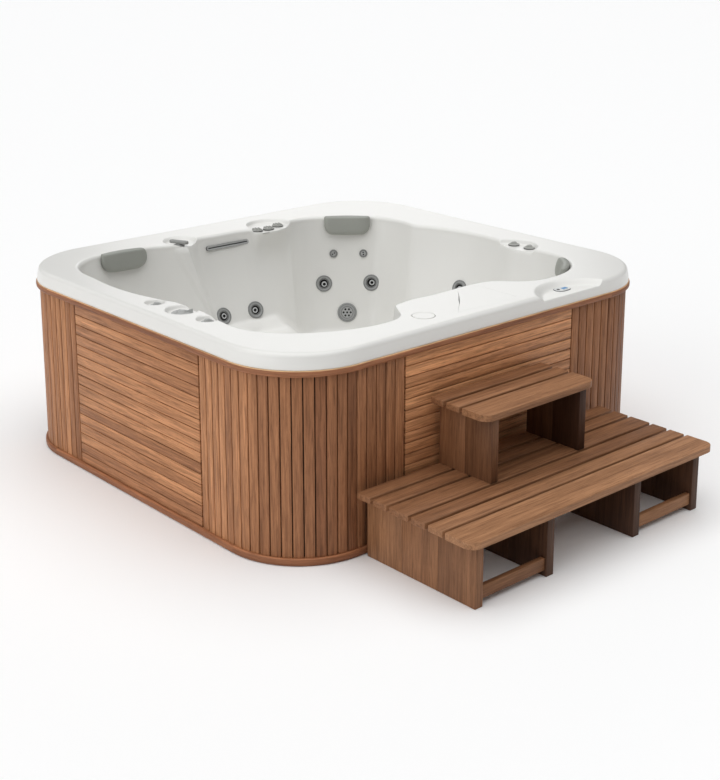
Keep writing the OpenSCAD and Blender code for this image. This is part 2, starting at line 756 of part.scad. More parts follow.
module jet_face_back_left() { jet_face(jet_back_left); }
module jet_face_back_right() { jet_face(jet_back_right); }
module jet_face_corner_left() { jet_face(jet_corner_left); }
module jet_face_corner_right() { jet_face(jet_corner_right); }
module jet_face_side() { jet_face(jet_side); }
module small_jet_left() { small_jet_face(jet_small_left); }
module small_jet_right() { small_jet_face(jet_small_right); }

module suction_cover() {
    color(grey_plastic) on_wall(suction_at[0], suction_at[1]) difference() {
        translate([0, 0, -fitting_depth]) cylinder(r = suction_r, h = fitting_depth + jet_out);
        translate([0, 0, -fitting_depth + 6]) cylinder(r = suction_r * 0.7, h = fitting_depth - 8);
        translate([0, 0, -fitting_depth - 1]) cylinder(r = suction_r * 0.35, h = 10);
        for (i = [0:6]) rotate([0, 0, 60 * i]) translate([i < 6 ? suction_r * 0.38 : 0, 0, -4])
            cylinder(r = suction_r * 0.085, h = 20);
    }
}

// Control panel
module panel_tray() {
    r = recess_r - shell_clear;
    h = rim_h - 4 - recess_z + tray_t;
    color(acrylic) difference() {
        translate([recess_at[0], recess_at[1], recess_z - tray_t]) cylinder(r = r, h = h, $fn = 96);
        translate([recess_at[0], recess_at[1], recess_z]) cylinder(r = r - tray_t, h = rim_h, $fn = 96);
        translate([recess_at[0] - 2 * r, front - lip_out, 0]) rotate([90, 0, 90]) linear_extrude(4 * r)
            front_trim();
        translate([keypad_at[0], keypad_at[1], recess_z - keypad_sunk]) linear_extrude(keypad_h + 4)
            stadium(keypad_l + 0.8, keypad_w + 0.8);
    }
}

// What lies in front of the lip's rounded outer edge, in a section across the front
module front_trim() {
    difference() {
        translate([-rim_h, 0]) square([rim_h + lip_r, 2 * rim_h]);
        translate([lip_r, rim_h - lip_r]) circle(lip_r - shell_clear);
        translate([shell_clear, 0]) square([lip_r, rim_h - lip_r]);
    }
}

keypad_l = 83.2;
keypad_w = 55.2;
keypad_h = 6;
keypad_sunk = 3;
key_stroke = 1.5;
// Keys: place from the keypad's middle, and radius
key_holes = [[-22, 2, 7], [-4, -17, 5], [14, -17, 5]];
display_at = [2, -8];
display_l = 28;
display_w = 18;
display_t = 2;

module keypad() {
    color(grey_plastic) translate([keypad_at[0], keypad_at[1], recess_z - keypad_sunk]) difference() {
        linear_extrude(keypad_h) stadium(keypad_l, keypad_w);
        for (k = key_holes) translate([k[0], k[1], 1]) cylinder(r = k[2] + turn_clear, h = keypad_h);
        translate([display_at[0], display_at[1], keypad_h - display_t]) cube([display_l, display_w, 4]);
    }
}

module panel_display() {
    c = 0.2;
    color(display_blue) translate([
        keypad_at[0] + display_at[0] + c, keypad_at[1] + display_at[1] + c,
        recess_z - keypad_sunk + keypad_h - display_t
    ]) cube([display_l - 2 * c, display_w - 2 * c, display_t - c]);
}

module panel_button(k, colour) {
    color(colour) translate([
        keypad_at[0] + k[0], keypad_at[1] + k[1], recess_z - keypad_sunk + 1 + key_stroke + 0.2
    ]) cylinder(r = k[2], h = keypad_h - 1);
}

module panel_button_main() { panel_button(key_holes[0], black_plastic); }
module panel_button_up() { panel_button(key_holes[1], acrylic); }
module panel_button_down() { panel_button(key_holes[2], acrylic); }

// Valve bodies in the rim, each with its spindle, and the recesses that they stand in
module valve_bases() {
    color(acrylic) union() {
        recess_floors();
        for (v = seats_in_rim) translate([v[0][0], v[0][1], rim_h - v[2]]) {
            translate([0, 0, -valve_body_h]) cylinder(r = v[1], h = valve_body_h);
            cylinder(r = spindle_r, h = v[3]);
        }
    }
}

// A knob: a skirt round the spindle, a cap, and a pointed grip that reaches out to tip
module knob(p, skirt_r, h, tip, facing) {
    z = rim_h - seat_sunk + turn_clear;
    color(chrome) translate([p[0], p[1], z]) rotate([0, 0, facing]) difference() {
        union() {
            cylinder(r = skirt_r, h = h * 0.4);
            cylinder(r = skirt_r * 0.72, h = h * 0.66);
            linear_extrude(h) union() {
                circle(skirt_r * 0.45);
                polygon([
                    [0, -skirt_r * 0.44], [tip, -skirt_r * 0.1], [tip, skirt_r * 0.1], [0, skirt_r * 0.44]
                ]);
            }
        }
        translate([0, 0, -1]) cylinder(r = spindle_r + turn_clear, h = spindle_h + 1);
    }
}

knob_h = 18;
diverter_h = 28;
module air_knob(p, facing) { knob(p, air_knob_r, knob_h, air_knob_reach, facing); }

module diverter_knob() { knob(diverter_at, diverter_knob_r, diverter_h, diverter_reach, 60); }
module air_knob_left_rear() { air_knob(air_left_rear_at, 0); }
module air_knob_left_front() { air_knob(air_left_front_at, 20); }

// A lever: a skirt round the spindle, a neck, and a bar with round ends across them
lever_h = 26;
lever_bar = 14;
lever_w = 28;
module lever_knob_back() {
    color(chrome) translate([lever_at[0], lever_at[1], rim_h - seat_sunk + turn_clear])
        rotate([0, 0, -64]) difference() {
            union() {
                cylinder(r = air_knob_r, h = 6);
                cylinder(r = air_knob_r * 0.6, h = lever_h - 1);
                translate([0, 0, lever_h - lever_bar]) linear_extrude(lever_bar)
                    stadium(2 * lever_reach, lever_w);
            }
            translate([0, 0, -1]) cylinder(r = spindle_r + turn_clear, h = spindle_h + 1);
        }
}

module air_knob_back_1() { air_knob(air_back_at[0], 140); }
module air_knob_back_2() { air_knob(air_back_at[1], 140); }
module air_knob_back_3() { air_knob(air_back_at[2], 140); }
module air_knob_right_rear() { air_knob(air_right_at[0], 35); }
module air_knob_right_front() { air_knob(air_right_at[1], 35); }

// Pillows: each follows the wall behind it, swells at its middle and draws in at its edges
peg_out = 14;
module pillow_pegs() {
    color(grey_plastic) for (a = pillow_angles) on_wall(a, pillow_z) for (s = [-1, 1])
        translate([0, s * peg_spread, -22]) cylinder(r = peg_r, h = 22 + peg_out);
}

pillow_back = 4;
pillow_nu = 20;
pillow_nv = 10;
function crown(u, v) = let (c = max(0, 1 - u ^ 4) * max(0, 1 - v ^ 4)) sqrt(c);
function draw_in(v, amount) = 1 - amount * v * v;

module pillow(a0) {
    az = wall_az(a0, pillow_z);
    e = wall_tilt(a0, pillow_z);
    c = wall_pt(a0, pillow_z);
    out = [cos(e) * cos(az), cos(e) * sin(az), sin(e)];
    side = [-sin(az), cos(az), 0];
    up = cross(out, side);
    // Grid point on the pad: across s and up t, from -1 to 1, at depth share d
    function base(s, t) = let (
        x = s * pillow_w / 2 * draw_in(t, 0.035),
        y = t * pillow_h / 2 * draw_in(s, 0.05),
        p = c + side * x + up * y,
        q = [p[0] - bath_c[0], p[1] - bath_c[1]],
        a = atan2(q[1], q[0]),
        z = min(p[2], rim_h - rim_r),
        lack = norm(q) - wall_r(a, z)
    ) p - [cos(a), sin(a), 0] * lack;
    function skin(s, t, d) = base(s, t) + out * (pillow_back + (d ? 6 + (pillow_t - 10) * crown(s, t) : 0));
    nu = pillow_nu;
    nv = pillow_nv;
    m = nv + 1;
    half = (nu + 1) * m;
    pts = concat(
        [for (i = [0:nu], j = [0:nv]) skin(2 * i / nu - 1, 2 * j / nv - 1, true)],
        [for (i = [0:nu], j = [0:nv]) skin(2 * i / nu - 1, 2 * j / nv - 1, false)]
    );
    edge = concat(
        [for (j = [0:nv - 1]) j], [for (i = [0:nu - 1]) i * m + nv],
        [for (j = [nv:-1:1]) nu * m + j], [for (i = [nu:-1:1]) i * m]
    );
    ne = len(edge);
    cells = [for (i = [0:nu - 1], j = [0:nv - 1]) i * m + j];
    faces = concat(
        [for (k = cells) [k, k + m, k + m + 1]],
        [for (k = cells) [k, k + m + 1, k + 1]],
        [for (k = cells) half * [1, 1, 1] + [k, k + m + 1, k + m]],
        [for (k = cells) half * [1, 1, 1] + [k, k + 1, k + m + 1]],
        [for (k = [0:ne - 1]) [edge[k], edge[(k + 1) % ne], half + edge[(k + 1) % ne]]],
        [for (k = [0:ne - 1]) [edge[k], half + edge[(k + 1) % ne], half + edge[k]]]
    );
    color(pillow_grey) difference() {
        polyhedron(pts, faces);
        on_wall(a0, pillow_z) for (s = [-1, 1])
            translate([0, s * peg_spread, -20])
                cylinder(r = peg_r + turn_clear, h = 20 + peg_out + turn_clear);
    }
}

module pillow_back_left() { pillow(pillow_angles[0]); }
module pillow_back_right() { pillow(pillow_angles[1]); }
module pillow_front_right() { pillow(pillow_angles[2]); }

// Steps
step_x = left + 1015.5;
lower_slat_ws = [73, 73, 101, 73, 73, 136];
upper_slat_ws = [66, 70, 128];
slat_over = 54;
upper_slat_over = 45;
leg_outer = 652;
leg_inner = 274;
corner_round = 45;

module step_panel(x, d, z0, z1) {
    translate([x, front - step_gap - d, z0]) cube([leg_t, d, z1 - z0]);
}

// A deck of slats of the widths ws, from the back edge y1 forwards, the front one with round corners
module tread(ws, len, y1, depth, z1) {
    gap = (depth - sum(ws)) / (len(ws) - 1);
    for (i = [0:len(ws) - 1]) let (y = y1 - sum([for (k = [0:i]) ws[k]]) - gap * i)
        translate([step_x - len / 2, y, z1 - tread_t])
            if (i < len(ws) - 1) cube([len, ws[i], tread_t]);
            else linear_extrude(tread_t) union() {
                translate([0, corner_round]) square([len, ws[i] - corner_round]);
                translate([corner_round, 0]) square([len - 2 * corner_round, ws[i]]);
                for (x = [corner_round, len - corner_round])
                    translate([x, corner_round]) circle(corner_round);
            }
}

module lower_step_legs() {
    color(timber) for (x = [-leg_outer, -leg_inner, leg_inner - leg_t, leg_outer - leg_t])
        step_panel(step_x + x, step_d, 0, step_h - tread_t);
}

module lower_step_slats() {
    color(timber) tread(lower_slat_ws, 2 * (leg_outer + slat_over), front - step_gap, step_d + 35, step_h);
}

rail_z = 25;
rail_d = 22;
bar_h = 50;
module lower_step_rails() {
    len = leg_outer - leg_inner - leg_t;
    color(timber) for (x = [-leg_outer + leg_t, leg_inner])
        translate([step_x + x, front - step_gap - step_d + 8, rail_z]) cube([len, rail_d, bar_h]);
}

module upper_step_sides() {
    color(timber) for (x = [-leg_inner, leg_inner - leg_t])
        step_panel(step_x + x, upper_step_d, step_h, upper_step_h - tread_t);
}

module upper_step_slats() {
    len = 2 * (leg_inner + upper_slat_over);
    color(timber) tread(upper_slat_ws, len, front - step_gap + 5, upper_step_d + 18, upper_step_h);
}

base_pan();
bottom_trim();
frame_sill();
frame_posts();
frame_top_rail();
cladding_backings();
corner_slats();
front_panel_slats();
back_panel_slats();
right_panel_slats();
left_panel_slats();
left_panel_backing();
top_trim();
shell();
shell_cradle();
pump_housings();
pump_motors();
heater();
control_box();
air_blower();
water_pipes();
filter_housing();
filter_cartridge();
filter_lid();
filter_lid_cap();
waterfall_spout();
jet_housings();
suction_cover();
jet_face_back_left();
jet_face_back_right();
jet_face_corner_left();
jet_face_corner_right();
jet_face_side();
small_jet_left();
small_jet_right();
panel_tray();
keypad();
panel_display();
panel_button_main();
panel_button_up();
panel_button_down();
valve_bases();
diverter_knob();
air_knob_left_rear();
air_knob_left_front();
lever_knob_back();
air_knob_back_1();
air_knob_back_2();
air_knob_back_3();
air_knob_right_rear();
air_knob_right_front();
pillow_pegs();
pillow_back_left();
pillow_back_right();
pillow_front_right();
lower_step_legs();
lower_step_slats();
lower_step_rails();
upper_step_sides();
upper_step_slats();
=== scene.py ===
import math

import bmesh
import bpy
import numpy as np
from mathutils import Matrix, Vector
from mathutils.geometry import tessellate_polygon


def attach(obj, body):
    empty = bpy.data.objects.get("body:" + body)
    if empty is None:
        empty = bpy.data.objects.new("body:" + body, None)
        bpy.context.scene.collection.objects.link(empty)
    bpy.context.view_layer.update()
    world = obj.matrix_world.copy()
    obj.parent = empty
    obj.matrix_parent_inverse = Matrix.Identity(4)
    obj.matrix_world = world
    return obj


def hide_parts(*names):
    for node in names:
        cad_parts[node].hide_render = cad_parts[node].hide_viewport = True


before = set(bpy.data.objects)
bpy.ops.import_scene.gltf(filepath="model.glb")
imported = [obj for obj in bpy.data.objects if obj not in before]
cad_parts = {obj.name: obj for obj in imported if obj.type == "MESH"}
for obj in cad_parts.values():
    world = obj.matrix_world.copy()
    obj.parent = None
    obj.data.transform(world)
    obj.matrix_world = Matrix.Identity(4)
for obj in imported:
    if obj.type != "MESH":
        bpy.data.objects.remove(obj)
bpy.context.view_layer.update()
rng = np.random.default_rng(7)
scene = bpy.context.scene

# The camera, from the photograph
CAM_AT = (-4.0961, -4.8162, 2.4944)
CAM_PITCH = 14.1817
CAM_HEADING = -41.5
LENS = 66.95
SHIFT_Y = -0.1799

# Dimensions of the tub, in metres, as in the part's source
MM = 0.001
TUB_W, TUB_D = 2.128, 1.990
CORNER_R = 0.335
RIM_H = 0.840
LIP_OUT, LIP_H = 0.010, 0.064
RIM_R = 0.018
WALL_LEAN = 0.120
FLOOR_H = 0.066
BOTTOM_TRIM_H = 0.030
SLAT_TOP = 0.750
SLAT_T = 0.016
PANEL_W, PANEL_D = 0.973, 0.913
PANEL_GAP = 0.007
BATH_C = np.array([-0.034, -0.065])
# The lip's edge is sharper than in the source, and its face leans in a little
LIP_R, LIP_LEAN = 0.020, 0.006
# Signs of the plan's corners, anticlockwise, and the angle at which each corner's arc begins
CORNERS = {(1, 1): 0, (-1, 1): 90, (-1, -1): 180, (1, -1): 270}


# Outlines
def place(x, y):
    """A point given in millimetres from the left and front timber faces, in the row frame."""
    return np.array([x * MM - TUB_W / 2, y * MM - TUB_D / 2])


def unit(degrees):
    return np.array([math.cos(math.radians(degrees)), math.sin(math.radians(degrees))])


def ease(u):
    u = np.clip(u, 0, 1)
    return u * u * (3 - 2 * u)


def circle(middle, radius, n):
    t = np.radians(np.arange(n) * 360 / n)
    return np.stack([middle[0] + radius * np.cos(t), middle[1] + radius * np.sin(t)], axis=1)


def arc(x, y, r, start, steps):
    """A quarter circle round (x, y) that begins at the angle start."""
    t = np.radians(start + 90 * np.arange(steps + 1) / steps)
    return np.stack([x + r * np.cos(t), y + r * np.sin(t)], axis=1)


def stadium(length, height, n=12):
    """Outline with round ends, long side along y."""
    t = np.radians(np.linspace(0, 180, n + 1))
    reach = (length - height) / 2
    end = np.stack([height / 2 * np.cos(t), height / 2 * np.sin(t) + reach], axis=1)
    return np.concatenate([end, -end])


def at_height(outline, z):
    return np.column_stack([outline, np.full(len(outline), z)])


def rings(pairs, n=48, middle=(0, 0)):
    """Circles of those (radius, height) pairs."""
    return [at_height(circle(middle, r, n), z) for r, z in pairs]


# Meshes
def mesh_object(name, verts, faces, mats, face_mats=None, attributes=None):
    """A mesh object from arrays. attributes is {name: one float or vector for each vertex}."""
    mesh = bpy.data.meshes.new(name)
    mesh.from_pydata([tuple(v) for v in verts], [], [tuple(int(i) for i in f) for f in faces])
    for m in mats:
        mesh.materials.append(m)
    if face_mats is not None:
        mesh.polygons.foreach_set("material_index", np.asarray(face_mats, np.int32))
    mesh.polygons.foreach_set("use_smooth", [True] * len(mesh.polygons))
    for key, values in (attributes or {}).items():
        values = np.asarray(values, np.float32)
        kind, field = ("FLOAT_VECTOR", "vector") if values.ndim == 2 else ("FLOAT", "value")
        mesh.attributes.new(key, kind, "POINT").data.foreach_set(field, values.ravel())
    mesh.update()
    obj = bpy.data.objects.new(name, mesh)
    scene.collection.objects.link(obj)
    return obj


def dress(obj, nodes, slot, body):
    """Puts a piece in the place of CAD nodes, on their body."""
    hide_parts(*nodes)
    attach(obj, body)


def grid_faces(rows, cols, wrap_rows=False, wrap_cols=False):
    """Quads of a grid of rows by cols vertices, row after row."""
    i, j = np.meshgrid(
        np.arange(rows if wrap_rows else rows - 1), np.arange(cols if wrap_cols else cols - 1),
        indexing="ij",
    )
    i, j = i.ravel(), j.ravel()
    i2, j2 = (i + 1) % rows, (j + 1) % cols
    return np.stack([i * cols + j, i2 * cols + j, i2 * cols + j2, i * cols + j2], axis=1)


def sharpen(obj, degrees):
    """Marks edges that turn more than this as sharp."""
    bm = bmesh.new()
    bm.from_mesh(obj.data)
    for e in bm.edges:
        if len(e.link_faces) == 2 and e.calc_face_angle(0) > math.radians(degrees):
            e.smooth = False
    bm.to_mesh(obj.data)
    bm.free()


def extruded(outline, z0, z1):
    """A plate of that outline, as a bmesh."""
    bm = bmesh.new()
    low = [bm.verts.new((*p, z0)) for p in outline]
    high = [bm.verts.new((*p, z1)) for p in outline]
    k = len(outline)
    bm.faces.new(low[::-1])
    bm.faces.new(high)
    for i in range(k):
        bm.faces.new((low[i], low[(i + 1) % k], high[(i + 1) % k], high[i]))
    return bm


def bevel(bm, edges, width, segments):
    bmesh.ops.bevel(
        bm, geom=edges, offset=width, segments=segments, profile=0.5, affect="EDGES")


def to_arrays(bm):
    """The points and faces of a bmesh, which is freed."""
    bm.verts.index_update()
    co = np.array([v.co for v in bm.verts])
    faces = [[v.index for v in f.verts] for f in bm.faces]
    bm.free()
    return co, faces


# Materials
def fill(tree, n, inputs):
    """Sets a node's inputs, which are values or other nodes' outputs."""
    for key, value in inputs.items():
        socket = n.inputs[key]
        if isinstance(value, bpy.types.NodeSocket):
            tree.links.new(value, socket)
        elif socket.type == "RGBA":
            socket.default_value = (*value, 1)
        else:
            socket.default_value = value
    return n


def node(tree, kind, inputs, **settings):
    n = tree.nodes.new(kind)
    for key, value in settings.items():
        setattr(n, key, value)
    return fill(tree, n, inputs)


def ramp(tree, fac, stops):
    """A colour ramp; stops are (position, colour)."""
    n = node(tree, "ShaderNodeValToRGB", {"Fac": fac})
    elements = n.color_ramp.elements
    while len(elements) < len(stops):
        elements.new(0.5)
    for e, (position, colour) in zip(elements, stops):
        e.position = position
        e.color = (*colour, 1)
    return n.outputs["Color"]


def mix(tree, fac, a, b, blend="MIX"):
    n = node(tree, "ShaderNodeMix", {}, data_type="RGBA", blend_type=blend)
    return fill(tree, n, {0: fac, 6: a, 7: b}).outputs[2]


def noise(tree, vector, scale, detail, roughness=0.55, distortion=0):
    return node(tree, "ShaderNodeTexNoise", {
        "Vector": vector, "Scale": scale, "Detail": detail, "Roughness": roughness,
        "Distortion": distortion,
    }).outputs["Fac"]


def grey(level):
    return (level,) * 3


def new_material(name):
    mat = bpy.data.materials.new(name)
    mat.use_nodes = True
    return mat, mat.node_tree, mat.node_tree.nodes["Principled BSDF"]


def bump(tree, height, strength, distance):
    return node(tree, "ShaderNodeBump", {
        "Height": height, "Strength": strength, "Distance": distance}).outputs["Normal"]


def wood(name, dark, mid, light, roughness=0.5, contrast=1.0):
    """Timber whose grain runs along the first axis of the mesh's grain attribute. Each board's tone
    comes from the board attribute: its own random tone, with painted light and shade added on some
    pieces."""
    mat, tree, shader = new_material(name)
    grain = node(tree, "ShaderNodeAttribute", {}, attribute_name="grain").outputs["Vector"]
    tone = node(tree, "ShaderNodeAttribute", {}, attribute_name="board").outputs["Fac"]

    def grained(along, across, detail, rough, distortion=0):
        v = node(tree, "ShaderNodeVectorMath", {0: grain, 1: (along, across, across)},
                 operation="MULTIPLY")
        return noise(tree, v.outputs[0], 1.0, detail, rough, distortion)

    bands = grained(1.1, 34, 3, 0.5, 0.6)
    fibres = grained(7, 420, 5, 0.65)
    pores = grained(32, 1100, 2, 0.5)
    figure = grained(6.5, 125, 4, 0.6, 0.7)
    board = ramp(tree, tone, [(0.0, dark), (0.5, mid), (1.0, light)])
    banded = mix(tree, ramp(tree, bands, [(0.3, grey(0)), (0.7, grey(1))]), (0.72, 0.68, 0.64),
                 (1.2, 1.22, 1.24))
    base = mix(tree, 0.8 * contrast, board, banded, "MULTIPLY")
    for share, texture, stops in (
        (0.62, figure, [(0.34, (0.52, 0.47, 0.43)), (0.58, grey(1.15))]),
        (0.55, fibres, [(0.3, (0.68, 0.64, 0.6)), (0.6, grey(1.08))]),
        (0.45, pores, [(0.33, (0.45, 0.4, 0.36)), (0.42, grey(1))]),
    ):
        base = mix(tree, share * contrast, base, ramp(tree, texture, stops), "MULTIPLY")
    rough = ramp(tree, fibres, [(0.3, grey(roughness + 0.14)), (0.7, grey(roughness - 0.04))])
    fill(tree, shader, {"Base Color": base, "Roughness": rough, "Specular IOR Level": 0.3,
                        "Normal": bump(tree, fibres, 0.25, 0.0006)})
    return mat


def moulded(name, colour, roughness, grain_scale=900, grain=0.05, coat=0.0, metallic=0.0,
            spread=0.04, specular=0.5, coat_roughness=0.05, wear_and_sheen=0.1):
    """Moulded plastic or coated metal: a fine surface grain and a little change in tone."""
    mat, tree, shader = new_material(name)
    where = node(tree, "ShaderNodeTexCoord", {}).outputs["Object"]
    low = tuple(c * (1 - spread) for c in colour)
    high = tuple(min(1, c * (1 + spread)) for c in colour)
    fill(tree, shader, {
        "Base Color": ramp(tree, noise(tree, where, 7, 3), [(0.3, low), (0.7, high)]),
        "Roughness": ramp(tree, noise(tree, where, 23, 3), [
            (0.3, grey(roughness * (1 - wear_and_sheen))), (0.7, grey(roughness * (1 + wear_and_sheen)))]),
        "Metallic": metallic, "Coat Weight": coat, "Coat Roughness": coat_roughness,
        "Specular IOR Level": specular,
    })
    if grain:
        relief = bump(tree, noise(tree, where, grain_scale, 2), grain, 0.0005)
        fill(tree, shader, {"Normal": relief})
    return mat


ACRYLIC = moulded("acrylic_gloss", (0.79, 0.783, 0.753), 0.36, grain=0.0, coat=0.3, spread=0.004,
                  coat_roughness=0.16, wear_and_sheen=0.02)
CLADDING = wood("cladding_timber", (0.20, 0.076, 0.033), (0.43, 0.195, 0.089),
                (0.72, 0.35, 0.163), 0.5, 1.2)
# The trim's pale light stop is reached mostly by the painted highlight on the trims' upper edges.
TRIM_WOOD = wood("trim_timber", (0.21, 0.08, 0.036), (0.43, 0.18, 0.083), (0.98, 0.72, 0.42), 0.45)
STEP_WOOD = wood("step_timber", (0.050, 0.020, 0.010), (0.28, 0.130, 0.060), (0.56, 0.30, 0.152))
BACKING = moulded("dark_backing", (0.028, 0.018, 0.013), 0.8, 300, 0.3)
JET_GREY = moulded("jet_grey", (0.30, 0.305, 0.30), 0.35, 600)
JET_RING = moulded("jet_ring", (0.17, 0.172, 0.168), 0.4, 600)
# Dark grey: painted shade on the sides of flanges and bezels, in their grooves and in the spout's
# slot.
JET_SHADE = moulded("jet_edge_painted_shade", (0.125, 0.127, 0.122), 0.4, 600)
JET_PLATE = moulded("jet_plate", (0.40, 0.405, 0.40), 0.35, 600)
JET_LIGHT = moulded("jet_nozzle", (0.55, 0.56, 0.56), 0.25, 600, 0.04)
# Near black: painted shade for the depth of bores, jet cups and hole floors.
HOLE_SHADE = moulded("hole_painted_shade", (0.008, 0.008, 0.008), 0.6, 400, 0.1)
CHROME = moulded("satin_chrome", (0.40, 0.405, 0.395), 0.38, 900, 0.02, specular=0.35)
PILLOW = moulded("pillow_skin", (0.325, 0.333, 0.302), 0.42, 1500, 0.10)
KNOB_GREY = moulded("knob_grey", (0.37, 0.372, 0.35), 0.4, 900, 0.03, specular=0.3)
# Near black: painted shade on the knobs' low sides, in the gap round them.
KNOB_SHADE = moulded("knob_side_painted_shade", (0.055, 0.056, 0.052), 0.4, 900, 0.03)
LEVER_GREY = moulded("lever_grey", (0.29, 0.292, 0.28), 0.35, 900, 0.04, specular=0.35)
# Dark grey: painted shadow round the keypad's foot.
KEYPAD_SHADE = moulded("keypad_edge_painted_shade", (0.09, 0.095, 0.11), 0.5)
KEY_PALE = moulded("key_pale", (0.60, 0.61, 0.61), 0.3, 900, 0.03)
KEYPAD_FACE = moulded("keypad_face", (0.70, 0.71, 0.70), 0.4, 900, 0.03)
DISPLAY = moulded("display_blue", (0.035, 0.24, 0.52), 0.4, 900, 0.01)
KEY_DARK = moulded("key_dark", (0.02, 0.02, 0.024), 0.6)
BLACK_PLASTIC = moulded("black_plastic", (0.03, 0.03, 0.032), 0.5, 700, 0.12)
GREY_PLASTIC = moulded("grey_plastic", (0.26, 0.27, 0.27), 0.45, 700, 0.1)
PIPE = moulded("white_pipe", (0.7, 0.7, 0.68), 0.35, 500, 0.06)
STEEL = moulded("steel_tube", (0.6, 0.6, 0.6), 0.28, 1100, 0.06, metallic=1.0)
MOTOR = moulded("motor_body", (0.36, 0.37, 0.38), 0.4, 500, 0.12, metallic=0.6)
PAPER = moulded("filter_paper", (0.84, 0.83, 0.78), 0.9, 900, 0.3)
SOFTWOOD = moulded("frame_softwood", (0.50, 0.36, 0.21), 0.7, 120, 0.3, spread=0.12)
FLOOR = moulded("pale_floor", (0.97, 0.97, 0.97), 0.9, grain=0.0, spread=0.0)

# The bath: its rim opening, from the left and front timber faces, and its seats
RIM = np.array([place(x, y) for x, y in [
    (180, 910), (180, 735), (153, 560), (153, 470), (184, 390), (244, 312), (335, 243),
    (446, 191), (555, 165), (640, 162), (702, 177), (742, 207), (772, 255), (803, 303),
    (855, 323), (945, 329), (1180, 329), (1290, 325), (1346, 313), (1388, 284), (1424, 244),
    (1475, 206), (1543, 181), (1686, 188), (1760, 212), (1830, 255), (1882, 318), (1915, 395),
    (1925, 490), (1918, 560), (1900, 640), (1904, 700), (1928, 775), (1937, 850), (1918, 1090),
    (1880, 1200), (1843, 1290), (1850, 1370), (1848, 1450), (1828, 1530), (1775, 1592),
    (1710, 1652), (1565, 1752), (1480, 1765), (1425, 1752), (1372, 1718), (1310, 1700),
    (1250, 1700), (1206, 1716), (1174, 1748), (1000, 1765), (870, 1765), (785, 1715),
    (700, 1735), (600, 1775), (380, 1800), (260, 1765), (181, 1700), (137, 1600), (122, 1450),
    (136, 1080), (160, 980),
]])
RIM_A = np.degrees(np.arctan2(RIM[:, 1] - BATH_C[1], RIM[:, 0] - BATH_C[0]))
RIM_D = np.hypot(*(RIM - BATH_C).T)
# Start angle, height of the seat, distance of its front edge from the bath's centre, and the
# angle over which it joins the seat before it
SEATS = np.array([
    (-180, 0.340, 0.440, 9), (-128, 0.380, 0.390, 9), (-62, 0.360, 0.400, 9),
    (-20, 0.330, 0.430, 9), (22, 0.250, 0.480, 9), (66, 0.400, 0.540, 18),
    (118, 0.340, 0.520, 9), (152, 0.340, 0.440, 9),
])
WALL_FOOT = 0.070
# The rim stands in over the wall between these angles
LEDGE = (64.3, 83.5)
# A rib runs down below the ledge's corner: its angle at the foot, lean in degrees, and height
RIB = (106.0, 3.8, 0.012)


def hermite(p, q, slope_p, slope_q, u):
    """A cubic curve from p to q with those slopes, at the share u of the way."""
    return (p * (2 * u**3 - 3 * u**2 + 1) + slope_p * (u**3 - 2 * u**2 + u)
            + q * (3 * u**2 - 2 * u**3) + slope_q * (u**3 - u**2))


def rim_near(a):
    """Distance from the bath's centre to the rim opening at the angles a, in degrees."""
    turned = np.concatenate([RIM_A[-1:] - 360, RIM_A, RIM_A[:2] + 360])
    d = np.concatenate([RIM_D[-1:], RIM_D, RIM_D[:2]])
    slope = np.zeros_like(d)
    slope[1:-1] = (d[2:] - d[:-2]) / (turned[2:] - turned[:-2])
    b = np.mod(a - RIM_A[0], 360) + RIM_A[0]
    i = np.clip(np.searchsorted(RIM_A, b, side="right"), 1, len(RIM))
    w = turned[i + 1] - turned[i]
    return hermite(d[i], d[i + 1], slope[i] * w, slope[i + 1] * w, (b - turned[i]) / w)


def seat_value(a, k):
    """Column k of the seats' table at the angles a."""
    a = np.where(a > 180, a - 360, np.where(a < -180, a + 360, a))
    value = np.full(np.shape(a), SEATS[0, k])
    for before, after in zip(SEATS, SEATS[1:]):
        value = value + (after[k] - before[k]) * ease((a - after[0]) / after[3] + 0.5)
    return value


def plan_at(a, grow):
    """Distance from the bath's centre to the cabinet's plan grown by grow, at the angles a."""
    hx, hy, r = TUB_W / 2 + grow, TUB_D / 2 + grow, CORNER_R + grow
    dx, dy = np.cos(np.radians(a)), np.sin(np.radians(a))
    with np.errstate(divide="ignore"):
        tx = np.where(dx > 0, (hx - BATH_C[0]) / dx, (-hx - BATH_C[0]) / dx)
        ty = np.where(dy > 0, (hy - BATH_C[1]) / dy, (-hy - BATH_C[1]) / dy)
    t = np.minimum(tx, ty)
    x, y = BATH_C[0] + t * dx, BATH_C[1] + t * dy
    corner = (np.abs(x) > hx - r) & (np.abs(y) > hy - r)
    ox = BATH_C[0] - np.sign(x) * (hx - r)
    oy = BATH_C[1] - np.sign(y) * (hy - r)
    b = ox * dx + oy * dy
    root = np.sqrt(np.maximum(b * b - ox * ox - oy * oy + r * r, 0))
    return np.where(corner, -b + root, t)


def wall_r(a, z):
    """Distance from the bath's centre to the wall at the angles a and height z."""
    top, foot = RIM_H - RIM_R, seat_value(a, 1) + WALL_FOOT
    leant = np.interp((top - z) / (top - foot), [0, 0.3, 0.68, 1.0, 2.0], [0, 0.22, 0.6, 1.0, 2.25])
    return rim_near(a) - WALL_LEAN * leant


def wall_frame(a, z):
    """A matrix on the wall at angle a and height z: z out into the bath, x down, y along."""
    r = float(wall_r(a, z))
    slope = float(wall_r(a + 2, z) - wall_r(a - 2, z)) / math.radians(4)
    azimuth = math.radians(180 + a) - math.atan2(slope, r)
    tilt = math.atan2(float(wall_r(a, z + 0.02) - wall_r(a, z - 0.02)), 0.04)
    return (
        Matrix.Translation((*(BATH_C + r * unit(a)), z)) @ Matrix.Rotation(azimuth, 4, "Z")
        @ Matrix.Rotation(math.pi / 2 - tilt, 4, "Y")
    )


